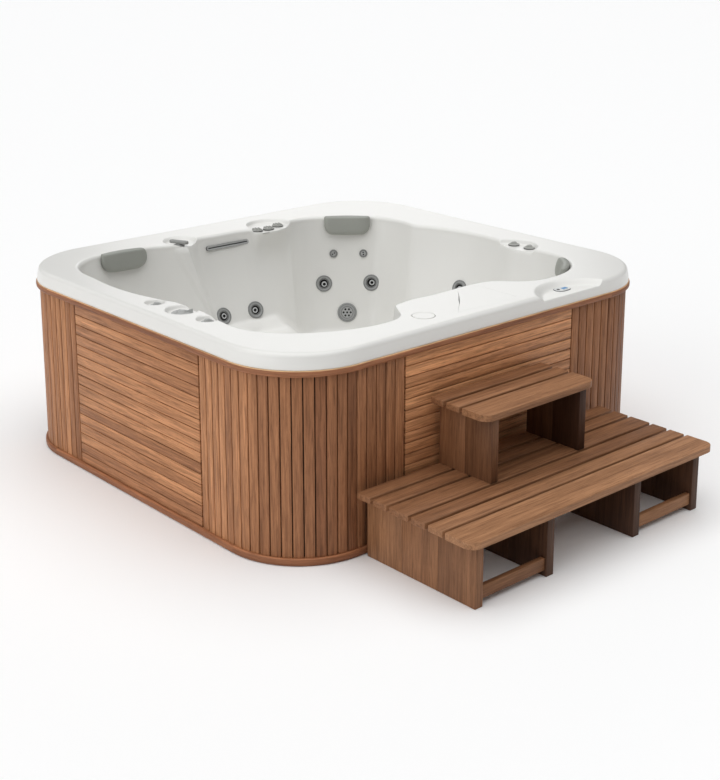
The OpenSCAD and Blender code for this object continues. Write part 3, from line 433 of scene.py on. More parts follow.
def smooth_rows(ctrl, per):
    """Points along smooth curves through control points. ctrl is angles by points by (r, z)."""
    step = np.diff(ctrl, axis=1)
    d = np.linalg.norm(step, axis=2, keepdims=True)
    s = step / d
    inner = (s[:, :-1] * d[:, 1:] + s[:, 1:] * d[:, :-1]) / (d[:, 1:] + d[:, :-1])
    t = np.concatenate([s[:, :1], inner, s[:, -1:]], axis=1)
    rows = [
        hermite(ctrl[:, k], ctrl[:, k + 1], t[:, k] * d[:, k], t[:, k + 1] * d[:, k], u)
        for k in range(ctrl.shape[1] - 1) for u in np.linspace(0, 1, per[k], endpoint=False)
    ]
    return np.stack(rows + [ctrl[:, -1]], axis=1)


# Where the rim's valves stand
DIVERTER_AT = place(115, 807)
LEFT_REAR_AT, LEFT_FRONT_AT = place(107, 978), place(127, 652)
LEVER_AT = place(756, 1758)
BACK_AT = [place(1219, 1753), place(1284, 1745), place(1360, 1768)]
RIGHT_AT = [place(1957, 712), place(1963, 620)]
CAP_AT, CAP_R = place(790, 121), 0.0455
CONTROL_AT = place(1540, -113)
VALVE_SUNK = 0.0168
# Round recesses in the rim: middle, radius, depth and width of the sloping edge
RECESSES = [
    (LEFT_REAR_AT + (-0.006, 0.004), 0.042, VALVE_SUNK, 0.009),
    (DIVERTER_AT + (0.011, 0.017), 0.070, VALVE_SUNK, 0.011),
    (LEFT_FRONT_AT, 0.046, VALVE_SUNK, 0.009),
    (LEVER_AT + (0.028, 0.027), 0.087, VALVE_SUNK, 0.018),
    ((BACK_AT[0] + BACK_AT[2]) / 2 + (0.022, 0.008), 0.118, VALVE_SUNK, 0.011),
    (BACK_AT[0] + (0.013, -0.015), 0.052, VALVE_SUNK, 0.008),
    ((RIGHT_AT[0] + RIGHT_AT[1]) / 2 + (-0.063, 0.002), 0.121, VALVE_SUNK, 0.011),
    (CONTROL_AT, 0.238, 0.024, 0.030),
]
EDGE_ROUNDING = 0.0065


def recess_depth(p, middle, radius, depth, slope):
    """How deep one recess lies below the rim at the points p."""
    d = (radius - np.hypot(p[..., 0] - middle[0], p[..., 1] - middle[1])) / slope
    return depth * (0.45 * np.clip(d, 0, 1) + 0.55 * ease(d))


def lowered(heights, floor, share):
    """The lower of two heights, with a small rounding where they meet."""
    k = EDGE_ROUNDING * share + 1e-9
    h = np.clip(0.5 + 0.5 * (floor - heights) / k, 0, 1)
    return floor + (heights - floor) * h - k * h * (1 - h)


def shell_angles():
    """Angles round the bath, closer together where the rim has recesses."""
    steps = np.arange(3600) / 10 - 180
    fine = np.zeros(3600, bool)
    for middle, radius, _, _ in RECESSES:
        ring = circle(middle, radius + 0.008, 36)
        ring[:, 1] = np.maximum(ring[:, 1], -TUB_D / 2 - LIP_OUT)
        v = ring - BATH_C
        c = ring.mean(axis=0) - BATH_C
        centre = math.degrees(math.atan2(c[1], c[0]))
        around = np.degrees(np.arctan2(v[:, 1], v[:, 0]))
        spread = np.abs((around - centre + 180) % 360 - 180).max()
        fine |= np.abs((steps - centre + 180) % 360 - 180) < spread
    out, a = [], -180.0
    while a < 180 - 1e-6:
        out.append(a)
        a += 0.2 if fine[int(round((a + 180) * 10)) % 3600] else 0.5
    return np.array(out)


def wall_under(a, r):
    """Distance to the wall below the rim, which runs straight where the rim stands in."""
    ends = [BATH_C + float(rim_near(t)) * unit(t) for t in LEDGE]
    along = ends[1] - ends[0]
    offset = along[1] * (ends[0][0] - BATH_C[0]) - along[0] * (ends[0][1] - BATH_C[1])
    t = np.radians(a)
    chord = offset / (along[1] * np.cos(t) - along[0] * np.sin(t))
    return np.where((a > LEDGE[0]) & (a < LEDGE[1]), np.maximum(r, chord), r)


def rib(a, z, top):
    """How far the rib stands out from the wall."""
    angle, lean, height = RIB
    up = np.clip((z - 0.50) / 0.30, 0, 1)
    half = 1.0 + 0.9 * up
    off = np.abs(a[:, None] - angle - lean * up)
    ends = ease((z - 0.45) / 0.1) * ease((top + 0.004 - z) / 0.02)
    return height * ease((half - off) / 1.3 + 0.5) * ends


FLAT_ROWS, FACE_ROWS, LIP_ROWS, RIM_ROWS = 54, 6, 13, 13
LIP_RETURN = 0.025
LIP_FOOT_R = 0.002
# Points between the control points of the wall, from the rim down to the floor
WALL_ROWS = [7, 8, 7, 4, 4, 3, 4, 4, 5, 4, 4, 2]


def rim_points(a, r, top):
    """Points across the top, from the lip's foot to the rim's inner edge, with its recesses."""
    o = plan_at(a, LIP_OUT)
    foot = RIM_H - LIP_H
    radii = [o - LIP_RETURN, o - LIP_FOOT_R, o]
    heights = [foot, foot, foot + LIP_FOOT_R]
    for u in np.linspace(0.1, 1, FACE_ROWS, endpoint=False):
        radii.append(o - LIP_LEAN * u**2)
        heights.append(foot + LIP_FOOT_R + (LIP_H - LIP_R - LIP_FOOT_R) * u)
    outer, inner = o - LIP_LEAN - LIP_R, r + RIM_R
    for t in np.radians(np.linspace(0, 90, LIP_ROWS)):
        radii.append(outer + LIP_R * math.cos(t))
        heights.append(RIM_H - LIP_R + LIP_R * math.sin(t))
    for u in np.linspace(0, 1, FLAT_ROWS + 2)[1:-1]:
        radii.append(outer + (inner - outer) * u)
        heights.append(RIM_H)
    for t in np.radians(np.linspace(90, 0, RIM_ROWS))[:-1]:
        radii.append(r + RIM_R - RIM_R * math.cos(t))
        heights.append(top + RIM_R * math.sin(t))
    radii = np.stack(radii, axis=1)
    heights = np.broadcast_to(np.array(heights), radii.shape).copy()
    ca, sa = np.cos(np.radians(a))[:, None], np.sin(np.radians(a))[:, None]
    xy = np.stack([BATH_C[0] + radii * ca, BATH_C[1] + radii * sa], axis=2)
    for recess in RECESSES:
        depth = recess_depth(xy, *recess)
        rounded = lowered(heights, RIM_H - depth, depth / recess[2])
        heights = np.where(depth > 0, rounded, heights)
    return radii, heights


def wall_points(a, r, top):
    """Points down the wall, over the seat and into the footwell."""
    seat = seat_value(a, 1)
    edge = np.minimum(seat_value(a, 2), r - WALL_LEAN - 0.120)
    foot = seat + WALL_FOOT
    w, flat = wall_under(a, r), 0 * r
    ctrl = [
        (r, top + flat), (w - WALL_LEAN * 0.22, top - (top - foot) * 0.3),
        (w - WALL_LEAN * 0.6, top - (top - foot) * 0.68), (w - WALL_LEAN, foot),
        (w - WALL_LEAN - 0.022, seat + 0.022), (w - WALL_LEAN - 0.075, seat),
        (edge + 0.030, seat - 0.004), (edge, seat - 0.030), (edge - 0.014, seat - 0.075),
        (edge - 0.060, FLOOR_H + 0.060 + flat), (edge - 0.080, FLOOR_H + 0.018 + flat),
        (edge - 0.130, FLOOR_H + flat), (edge * 0.3, FLOOR_H + flat),
    ]
    down = smooth_rows(np.stack([np.stack(c, axis=1) for c in ctrl], axis=1), WALL_ROWS)
    down[..., 0] -= rib(a, down[..., 1], top)
    return down[..., 0], down[..., 1]


def build_shell():
    a = shell_angles()
    n = len(a)
    r, top = rim_near(a), RIM_H - RIM_R
    over, down = rim_points(a, r, top), wall_points(a, r, top)
    radii = np.concatenate([over[0], down[0]], axis=1)
    heights = np.concatenate([over[1], down[1]], axis=1)
    x = BATH_C[0] + radii * np.cos(np.radians(a))[:, None]
    y = BATH_C[1] + radii * np.sin(np.radians(a))[:, None]
    verts = np.stack([x, y, heights], axis=2).reshape(-1, 3)
    cols = radii.shape[1]
    faces = grid_faces(n, cols, wrap_rows=True).tolist()
    verts = np.concatenate([verts, [[*BATH_C, FLOOR_H]]])
    last = np.arange(n) * cols + cols - 1
    faces += [[int(last[i]), int(last[(i + 1) % n]), n * cols] for i in range(n)]
    return mesh_object("acrylic_shell", verts, faces, [ACRYLIC])


def cut_openings(obj, openings):
    """Cuts outlines out of a mesh and gives each opening sides of its depth. An opening is its
    matrix, whose z is the way out of the surface, its outline, how far from that plane the mesh
    may lie, and its depth."""
    bm = bmesh.new()
    bm.from_mesh(obj.data)
    faces = bm.faces[:]
    centres = np.array([f.calc_center_median() for f in faces])
    found = []
    for matrix, outline, off, _ in openings:
        m = np.array(matrix.inverted())
        c = centres @ m[:3, :3].T + m[:3, 3]
        lo, hi = np.min(outline, axis=0) - 0.02, np.max(outline, axis=0) + 0.02
        within = (c[:, :2] > lo).all(axis=1) & (c[:, :2] < hi).all(axis=1)
        found.append([faces[i] for i in np.nonzero((np.abs(c[:, 2]) < off) & within)[0]])
    for (matrix, outline, _, depth), near in zip(openings, found):
        sides = list(zip(outline, np.roll(outline, -1, axis=0)))
        geom = near + list({e for f in near for e in f.edges})
        geom += list({v for f in near for v in f.verts})
        turn, back = matrix.to_3x3(), matrix.inverted()
        for p, q in sides:
            normal = turn @ Vector((q[1] - p[1], p[0] - q[0], 0)).normalized()
            geom = bmesh.ops.bisect_plane(
                bm, geom=geom, plane_co=matrix @ Vector((*p, 0)), plane_no=normal, dist=1e-6,
            )["geom"]

        def inside(c):
            hit = False
            for p, q in sides:
                if (p[1] > c.y) != (q[1] > c.y):
                    hit ^= bool(c.x < (q[0] - p[0]) * (c.y - p[1]) / (q[1] - p[1]) + p[0])
            return hit

        patch = [f for f in geom if isinstance(f, bmesh.types.BMFace)]
        gone = {f for f in patch if inside(back @ f.calc_center_median())}
        kept = [f for f in patch if f not in gone]
        bmesh.ops.delete(bm, geom=list(gone), context="FACES")
        edges = list({e for f in kept for e in f.edges if e.is_boundary})
        for e in edges:
            e.smooth = False
        out = bmesh.ops.extrude_edge_only(bm, edges=edges)["geom"]
        bmesh.ops.translate(bm, vec=turn @ Vector((0, 0, -depth)),
                            verts=[v for v in out if isinstance(v, bmesh.types.BMVert)])
    bm.to_mesh(obj.data)
    bm.free()
    obj.data.update()


# The filter lid's outline, anticlockwise, with its curved seam on the left
LID_EDGE = [
    (925, 63), (1269, 63), (1269, 285), (1149, 289), (1122, 256), (1095, 225), (1060, 188),
    (1023, 151), (980, 113), (952, 86),
]
SEAM_FROM, SEAM_GAP, EDGE_GAP = 4, 0.0045, 0.0003
LID_T = 0.008

JET_R, SMALL_JET_R, SUCTION_R = 0.042, 0.021, 0.049
JET_OUT = 0.005
FACE_SHARE = 0.62
FACE_GAP = 0.0005
OPENING_SHARE = 0.88
# Jets: angle round the bath, height, and place of the nozzle in the face, down and along
LARGE_JETS = {
    "jet_face_back_left": (98.1, 0.464, (-0.02, 0.10)),
    "jet_face_back_right": (83.4, 0.463, (0.04, -0.10)),
    "jet_face_corner_left": (53.4, 0.504, (0.12, 0.05)),
    "jet_face_corner_right": (38.4, 0.508, (-0.03, 0.13)),
    "jet_face_side": (3.8, 0.567, (0.10, 0.04)),
}
# Small jets: angle, height, and direction of the pair of nozzles
SMALL_JETS = {"small_jet_left": (50.3, 0.652, 125), "small_jet_right": (41.2, 0.653, 8)}
ALL_JETS = ((LARGE_JETS, JET_R), (SMALL_JETS, SMALL_JET_R))
SUCTION_AT = (45.9, 0.360)
SPOUT_AT, SPOUT_OUT = (89.6, RIM_H - 0.058), 0.002

shell = build_shell()
lid_pts = [place(x, y) for x, y in LID_EDGE]
lid_mid = sum(lid_pts) / len(lid_pts)
grown = [p + (p - lid_mid) / np.hypot(*(p - lid_mid)) * (SEAM_GAP if i >= SEAM_FROM else EDGE_GAP)
         for i, p in enumerate(lid_pts)]
deck = Matrix.Translation((0, 0, RIM_H))
openings = [(deck, np.array(grown), 0.004, 0.008),
            (deck, circle(CAP_AT, CAP_R + 0.0026, 28), 0.004, 0.006)]
for at, radius in [(s[:2], r) for specs, r in ALL_JETS for s in specs.values()] + [
        (SUCTION_AT, SUCTION_R)]:
    openings.append((wall_frame(*at), circle((0, 0), OPENING_SHARE * radius, 12), 0.02, 0.012))
openings.append((wall_frame(*SPOUT_AT), stadium(0.243, 0.017, 3), 0.02, 0.016))
cut_openings(shell, openings)
dress(shell, ["shell", "valve_bases", "panel_tray"], "acrylic", "tub")


def filter_lid():
    """The lid's plate, with its upper edges just broken."""
    bm = extruded(lid_pts, RIM_H - LID_T, RIM_H)
    bevel(bm, [e for e in bm.edges if all(v.co.z > RIM_H - LID_T / 2 for v in e.verts)], 0.0004, 3)
    top = [f for f in bm.faces
           if f.calc_center_median().z > RIM_H - 1e-6 and len(f.verts) >= len(lid_pts)]
    bmesh.ops.inset_region(bm, faces=top, thickness=0.002)
    lid = mesh_object("filter_lid_plate", *to_arrays(bm), [ACRYLIC])
    sharpen(lid, 40)
    dress(lid, ["filter_lid"], "acrylic", "filter_lid")


filter_lid()


# Boards
def outward(co, faces):
    """The faces, turned round if their front sides lie inside."""
    arms = co - co.mean(axis=0)
    volume = sum(np.dot(arms[f[0]], np.cross(arms[f[1]], arms[f[2]])) for f in faces)
    return faces if volume > 0 else [f[::-1] for f in faces]


def put(order, middle, signs=(1, 1, 1)):
    """A move that takes a board's length, width and thickness to other axes, and to its place."""
    return lambda co: co[:, order] * signs + middle


class Boards:
    """Gathers boards into one mesh, with the grain and board attributes that wood() reads."""

    def __init__(self):
        self.verts, self.faces, self.grain, self.tone = [], [], [], []
        self.count = 0

    def add(self, co, faces, grain, tone):
        self.verts.append(co)
        self.faces += [[i + self.count for i in f] for f in faces]
        self.grain.append(grain + rng.uniform(-40, 40, 3) * (1, 0.1, 0.1))
        self.tone.append(np.broadcast_to(tone, len(co)))
        self.count += len(co)

    def board(self, size, move, width=0.0015, cuts=1, tone=None, segments=2):
        """A board of (length along the grain, width, thickness) centred on the origin, with its
        edges rounded over width; move takes its points, as an array, to their places."""
        bm = bmesh.new()
        bmesh.ops.create_cube(bm, size=1)
        bmesh.ops.scale(bm, vec=size, verts=bm.verts)
        bevel(bm, bm.edges[:], width, segments)
        for k in range(1, cuts):
            bmesh.ops.bisect_plane(
                bm, geom=bm.verts[:] + bm.edges[:] + bm.faces[:],
                plane_co=(0, size[1] * (k / cuts - 0.5), 0), plane_no=(0, 1, 0))
        co, faces = to_arrays(bm)
        tone = rng.beta(2, 2) if tone is None else tone
        moved = move(co)
        self.add(moved, outward(moved, faces), co, tone)

    def finish(self, name, mat, node_name, body="tub", slot="cabinet_teak"):
        obj = mesh_object(name, np.concatenate(self.verts), self.faces, [mat], attributes={
            "grain": np.concatenate(self.grain), "board": np.concatenate(self.tone)})
        sharpen(obj, 50)
        dress(obj, [node_name], slot, body)


SLATS = 16
SLAT_GAP = 0.0032
SLAT_BEVEL = 0.0018
UPRIGHT_GAP = 0.0044


def panel(side, side_deg, width, reach, body, off):
    """Level slats on one side. off is how far they stand off the trims."""
    boards = Boards()
    # Painted light: the front and back slats are paler than the side slats, standing in for more
    # light on the front.
    painted_light_tone = 0.9 if side in ("front", "back") else 0.62
    left, right = (SLAT_GAP, PANEL_GAP) if side == "left" else (PANEL_GAP, SLAT_GAP)
    pitch = (SLAT_TOP - BOTTOM_TRIM_H - 2 * off) / SLATS
    turn = np.array(Matrix.Rotation(math.radians(side_deg), 3, "Z")).T
    for i in range(SLATS):
        middle = ((left - right) / 2, -reach + SLAT_T / 2, BOTTOM_TRIM_H + off + (i + 0.5) * pitch)
        level = put([0, 2, 1], middle, (1, -1, 1))
        tone = painted_light_tone + rng.uniform(-0.16, 0.16)
        boards.board((width - left - right, pitch - SLAT_GAP, SLAT_T),
                     lambda co: level(co) @ turn, SLAT_BEVEL, tone=tone)
    boards.finish("cladding_" + side, CLADDING, side + "_panel_slats", body)


panel("front", 0, PANEL_W, TUB_D / 2, "tub", 0)
panel("back", 180, PANEL_W, TUB_D / 2, "tub", 0)
panel("right", 90, PANEL_D, TUB_W / 2, "tub", 0)
panel("left", 270, PANEL_D, TUB_W / 2, "service_panel", 0.0006)

# Upright slats at a corner: straight runs along x and y, with an arc between them
CORNER_SLATS = 22
RUN_X = (TUB_W - PANEL_W) / 2 - CORNER_R
RUN_Y = (TUB_D - PANEL_D) / 2 - CORNER_R
PITCH = (RUN_X + RUN_Y + CORNER_R * math.pi / 2) / CORNER_SLATS
NX, NY = max(1, round(RUN_X / PITCH)), max(1, round(RUN_Y / PITCH))
N_ARC = CORNER_SLATS - NX - NY


def corner_cladding():
    boards = Boards()
    height, mid_z = SLAT_TOP - BOTTOM_TRIM_H, (SLAT_TOP + BOTTOM_TRIM_H) / 2
    cx, cy = TUB_W / 2 - CORNER_R, TUB_D / 2 - CORNER_R
    px, py, step = RUN_X / NX, RUN_Y / NY, 90 / N_ARC

    def upright(pitch, move, tone, cuts=1):
        boards.board((height, pitch - UPRIGHT_GAP, SLAT_T), move, SLAT_BEVEL, cuts, tone)

    for sx, sy in ((-1, -1), (-1, 1), (1, -1), (1, 1)):
        # Painted shade: slats on the front and back faces are darker than those on the side faces.
        for i in range(NX):
            at = (sx * (cx - (i + 0.5) * px), sy * (TUB_D - SLAT_T) / 2, mid_z)
            upright(px, put([1, 2, 0], at, (1, sy, 1)), rng.uniform(0.3, 0.55))
        for i in range(NY):
            at = (sx * (TUB_W - SLAT_T) / 2, sy * (cy - (i + 0.5) * py), mid_z)
            upright(py, put([2, 1, 0], at, (sx, 1, 1)), rng.uniform(0.4, 0.7))
        for i in range(N_ARC):
            middle = math.radians(CORNERS[sx, sy] + (i + 0.5) * step)

            def bent(co):
                t = middle + co[:, 1] / CORNER_R
                r = CORNER_R - SLAT_T / 2 + co[:, 2]
                return np.stack([sx * cx + r * np.cos(t), sy * cy + r * np.sin(t),
                                 mid_z + co[:, 0]], axis=1)

            # Painted shade: round each arc the slats darken from the side face to the front or back
            # face.
            share = i / (N_ARC - 1) if sx * sy > 0 else 1 - i / (N_ARC - 1)
            tone = 0.50 - 0.28 * ease((share - 0.15) / 0.5) + rng.uniform(-0.1, 0.1)
            upright(math.radians(step) * CORNER_R, bent, tone, 4)
    boards.finish("cladding_corners", CLADDING, "corner_slats")


corner_cladding()
ARC_STEPS = 16
RUN_STEPS = 7


def trim(name, node_name, profile, wear_and_sheen):
    """A trim of that (outward, z) profile, swept round the plan in eight lengths. The last
    argument is how much paler its upper edge is: a painted highlight where the light catches it."""
    cx, cy = TUB_W / 2 - CORNER_R, TUB_D / 2 - CORNER_R
    pts = np.concatenate([arc(sx * cx, sy * cy, CORNER_R, start, ARC_STEPS)
                          for (sx, sy), start in CORNERS.items()])
    normals = np.concatenate([arc(0, 0, 1, start, ARC_STEPS) for start in CORNERS.values()])
    n, m, per = len(pts), len(profile), ARC_STEPS + 1
    boards = Boards()
    across = np.concatenate([[0], np.cumsum(np.hypot(*np.diff(profile, axis=0).T))])
    # Painted highlight: the upper edge of the outer face is made paler, where the light catches it.
    lit_top_edge = ease((profile[:, 1] - profile[:, 1].max() + 0.0050) / 0.004) * (profile[:, 0] > 0)
    for corner in range(4):
        first, last = corner * per, corner * per + per - 1
        steps = np.linspace(0, 1, RUN_STEPS)[:, None]
        straight = pts[last] + (pts[(last + 1) % n] - pts[last]) * steps
        for p, q in ((pts[first:last + 1], normals[first:last + 1]),
                     (straight, np.repeat(normals[last][None], RUN_STEPS, axis=0))):
            length = np.concatenate([[0], np.cumsum(np.hypot(*np.diff(p, axis=0).T))])
            co = np.concatenate([at_height(p[i] + q[i] * profile[:, :1], 0) for i in range(len(p))])
            co[:, 2] = np.tile(profile[:, 1], len(p))
            grain = np.stack([np.repeat(length, m), np.tile(across, len(p)), 0 * co[:, 2]], axis=1)
            tone = rng.uniform(0.15, 0.35) + wear_and_sheen * lit_top_edge
            boards.add(co, grid_faces(len(p), m, wrap_cols=True).tolist(), grain,
                       np.tile(tone, len(p)))
    boards.finish(name, TRIM_WOOD, node_name)


def rounded_profile(x0, x1, z0, z1, r, steps=5):
    """A closed profile from x0 out to x1 with its outer corners rounded."""
    return np.concatenate([[(x0, z0)], arc(x1 - r, z0 + r, r, -90, steps),
                           arc(x1 - r, z1 - r, r, 0, steps), [(x0, z1)]])


# The last number is the strength of each trim's painted highlight along its upper edge.
trim("top_trim_band", "top_trim",
     rounded_profile(-0.022, 0.016, SLAT_TOP, SLAT_TOP + 0.026, 0.009, 8), 0.58)
trim("bottom_trim_band", "bottom_trim", rounded_profile(-0.022, 0.011, 0.0, BOTTOM_TRIM_H, 0.008),
     0.2)

# The steps
STEP_X = -TUB_W / 2 + 1.0155
STEP_BACK = -TUB_D / 2 - 0.026
TREAD_T, LEG_T = 0.026, 0.039
STEP_H, UPPER_H = 0.277, 0.562
STEP_DEPTH, UPPER_DEPTH = 0.571, 0.280
LEG_OUTER, LEG_INNER = 0.652, 0.274
ROUND = 0.045
RAIL_W, RAIL_T, RAIL_BACK = 0.050, 0.022, 0.008
# Ranges of tone, darker on the panels that stand in the shade
LIT, UPPER_LIT, SHADE, UPPER_SHADE = (0.35, 0.6), (0.3, 0.5), (0.05, 0.2), (0.0, 0.15)


def tread(boards, widths, overhang, back, depth, top):
    """Slats side by side, the front one with rounded corners."""
    length = 2 * overhang
    gap = (depth - sum(widths)) / (len(widths) - 1)
    y = back
    for w in widths[:-1]:
        boards.board((length, w, TREAD_T), put([0, 1, 2], (STEP_X, y - w / 2, top - TREAD_T / 2)),
                     0.004, tone=rng.uniform(0.45, 0.8), segments=3)
        y -= w + gap
    x, w = length / 2 - ROUND, widths[-1]
    outline = [(length / 2, w / 2), (-length / 2, w / 2)]
    outline += [*arc(-x, ROUND - w / 2, ROUND, 180, 8), *arc(x, ROUND - w / 2, ROUND, 270, 8)]
    bm = extruded(outline, -TREAD_T / 2, TREAD_T / 2)
    bevel(bm, [e for e in bm.edges if e.calc_face_angle(0) > math.radians(60)], 0.0045, 3)
    bmesh.ops.triangulate(bm, faces=[f for f in bm.faces if len(f.verts) > 4])
    co, faces = to_arrays(bm)
    middle = (STEP_X, y - w / 2, top - TREAD_T / 2)
    boards.add(co + middle, faces, co, rng.uniform(0.5, 0.9))


def leg(boards, x, depth, z0, z1, planks, tones):
    """An upright panel of planks glued edge to edge, with the grain upright."""
    w = depth / planks
    for i in range(planks):
        middle = (STEP_X + x, STEP_BACK - (i + 0.5) * w, (z0 + z1) / 2)
        # The front plank is painted a little darker: painted shade on the front edge.
        tone = rng.uniform(*tones) * (0.85 if i == planks - 1 else 1)
        boards.board((z1 - z0, w, LEG_T), put([2, 1, 0], middle), 0.0012, tone=tone)


def build_steps():
    outer, inner = LEG_OUTER - LEG_T / 2, LEG_INNER - LEG_T / 2
    lower, legs, rails, upper, sides = (Boards() for _ in range(5))
    tread(lower, [0.073, 0.073, 0.101, 0.073, 0.073, 0.136], LEG_OUTER + 0.054, STEP_BACK,
          STEP_DEPTH + 0.035, STEP_H)
    for x, tones in ((-outer, LIT), (-inner, SHADE), (inner, SHADE), (outer, SHADE)):
        leg(legs, x, STEP_DEPTH, 0, STEP_H - TREAD_T, 3, tones)
    length = LEG_OUTER - LEG_INNER - LEG_T
    for x in (-LEG_OUTER + LEG_T + length / 2, LEG_INNER + length / 2):
        middle = (STEP_X + x, STEP_BACK - STEP_DEPTH + RAIL_BACK + RAIL_T / 2, 0.050)
        rails.board((length, RAIL_W, RAIL_T), put([0, 2, 1], middle), 0.003)
    tread(upper, [0.066, 0.070, 0.128], LEG_INNER + 0.045, STEP_BACK + 0.005,
          UPPER_DEPTH + 0.018, UPPER_H)
    for x, tones in ((-inner, UPPER_LIT), (inner, UPPER_SHADE)):
        leg(sides, x, UPPER_DEPTH, STEP_H, UPPER_H - TREAD_T, 2, tones)
    for boards, name, node_name in (
        (lower, "lower_step_tread", "lower_step_slats"),
        (legs, "lower_step_panels", "lower_step_legs"),
        (rails, "lower_step_crossbars", "lower_step_rails"),
        (upper, "upper_step_tread", "upper_step_slats"),
        (sides, "upper_step_panels", "upper_step_sides"),
    ):
        boards.finish(name, STEP_WOOD, node_name, slot="step_teak")


build_steps()


# Turned and lofted pieces
class Skin:
    """Gathers outlines, each joined to the next, into one mesh. Materials are given as a string
    with the number of one of mats for each part."""

    def __init__(self, mats):
        self.mats = mats
        self.verts, self.faces, self.face_mats = [], [], []
        self.count = 0

    def add(self, co, faces, mats, matrix):
        m = np.array(matrix)
        self.verts.append(np.asarray(co, float) @ m[:3, :3].T + m[:3, 3])
        self.faces += [[int(i) + self.count for i in f] for f in faces]
        self.face_mats += [int(c) for c in mats]
        self.count += len(co)

    def loft(self, loops, mats, matrix, closed=True):
        """Joins loops, outer to inner and anticlockwise, and closes the last. mats gives each
        band between loops, and the closing face."""
        loops = np.asarray(loops, float)
        m, n = loops.shape[:2]
        faces = grid_faces(m, n, wrap_cols=True)[:, ::-1].tolist()
        face_mats = np.repeat(list(mats[:m - 1]), n).tolist()
        if closed:
            faces.append([(m - 1) * n + i for i in range(n)])
            face_mats.append(mats[m - 1])
        self.add(loops.reshape(-1, 3), faces, face_mats, matrix)

    def plate(self, outer, holes, z, depth, mats, matrix):
        """A flat face at height z with blind holes of that depth. mats gives the face, the
        holes' walls and their floors."""
        loops = [outer] + holes
        flat = [Vector((*p, 0)) for loop in loops for p in loop]
        faces, face_mats = [], []
        for a, b, c in tessellate_polygon([[Vector((*p, 0)) for p in loop] for loop in loops]):
            turn = (flat[b] - flat[a]).cross(flat[c] - flat[a]).z
            faces.append([a, b, c] if turn > 0 else [a, c, b])
            face_mats.append(mats[0])
        co = [(p.x, p.y, z) for p in flat]
        start = len(outer)
        for hole in holes:
            n, base = len(hole), len(co)
            co += [(*p, z - depth) for p in hole]
            for i in range(n):
                j = (i + 1) % n
                faces.append([start + i, start + j, base + j, base + i])
            faces.append([base + i for i in range(n)])
            face_mats += [mats[1]] * n + [mats[2]]
            start += n
        self.add(co, faces, face_mats, matrix)

    def finish(self, name, node_name, slot="grey_plastic", body=None, sharp=32):
        """body is by default the node's own."""
        obj = mesh_object(name, np.concatenate(self.verts), self.faces, self.mats, self.face_mats)
        sharpen(obj, sharp)
        dress(obj, [node_name], slot, body or node_name)


def flange(skin, matrix, radius, inner):
    """A jet's fixed ring: rounded rim, shallow groove and a dished face down to the cup."""
    skin.loft(rings([
        (radius * 0.97, -0.006), (radius, -0.001), (radius, JET_OUT - 0.0018),
        (radius - 0.0006, JET_OUT - 0.0007), (radius - 0.0018, JET_OUT - 0.0001),
        (radius - 0.0034, JET_OUT), (radius - 0.0044, JET_OUT - 0.0008),
        (radius - 0.0054, JET_OUT - 0.0008), (radius - 0.0062, JET_OUT - 0.0003),
        (inner + 0.0022, JET_OUT - 0.0017), (inner + 0.0006, JET_OUT - 0.0022),
        (inner, JET_OUT - 0.0032), (inner, -0.0095),
    ]), "1110011000122", matrix)


def jet_face(name, a, z, offset):
    """A large jet's turning face: a cup with its nozzle set off centre."""
    matrix = wall_frame(a, z)
    r = JET_R * FACE_SHARE - FACE_GAP
    skin = Skin([JET_RING, JET_LIGHT, HOLE_SHADE])
    skin.loft(rings([
        (r, -0.0085), (r, 0.0020), (r - 0.0005, 0.0028), (r - 0.0014, 0.0031), (r * 0.90, 0.0030),
        (r * 0.86, 0.0024), (r * 0.83, 0.0008), (r * 0.80, -0.0030), (r * 0.78, -0.0075),
    ]), "000000022", matrix)
    nozzle = ((0.60, -0.0074), (0.57, -0.0030), (0.54, 0.0004), (0.50, 0.0016), (0.44, 0.0020),
              (0.35, 0.0017), (0.31, 0.0008), (0.29, -0.0040))
    skin.loft(rings([(r * k, h) for k, h in nozzle], 36, np.array(offset) * r), "20111122", matrix)
    skin.finish(name + "_cup", name)


def small_jet(name, a, z, turn):
    """A small jet's turning face, with a pair of nozzles."""
    r = SMALL_JET_R * FACE_SHARE - FACE_GAP
    skin = Skin([JET_PLATE, JET_RING, HOLE_SHADE])
    skin.loft(rings([(r, -0.0085), (r, 0.0022), (r - 0.0006, 0.0030), (r * 0.88, 0.0032)], 40),
              "000", wall_frame(a, z), closed=False)
    holes = [circle(s * 0.44 * r * unit(turn), 0.30 * r, 20) for s in (-1, 1)]
    skin.plate(circle((0, 0), r * 0.88, 40), holes, 0.0032, 0.0055, "012", wall_frame(a, z))
    skin.finish(name + "_cup", name)


def suction_cover():
    r, matrix = SUCTION_R, wall_frame(*SUCTION_AT)
    skin = Skin([JET_GREY, JET_SHADE, JET_PLATE, HOLE_SHADE])
    skin.loft(rings([
        (r * 0.97, -0.008), (r, -0.001), (r, JET_OUT - 0.0022), (r - 0.0008, JET_OUT - 0.0008),
        (r - 0.0024, JET_OUT), (r * 0.86, JET_OUT), (r * 0.845, JET_OUT - 0.0008),
        (r * 0.82, JET_OUT - 0.0004), (r * 0.62, JET_OUT - 0.0010),
        (r * 0.585, JET_OUT - 0.0020), (r * 0.57, JET_OUT - 0.0036),
    ], 64), "1110011011", matrix, closed=False)
    middles = [(0, 0)] + [0.37 * r * unit(90 + 60 * k) for k in range(6)]
    holes = [circle(m, r * 0.108, 20) for m in middles]
    skin.plate(circle((0, 0), r * 0.57, 64), holes, JET_OUT - 0.0036, 0.006, "233", matrix)
    skin.finish("suction_grille", "suction_cover", body="tub")


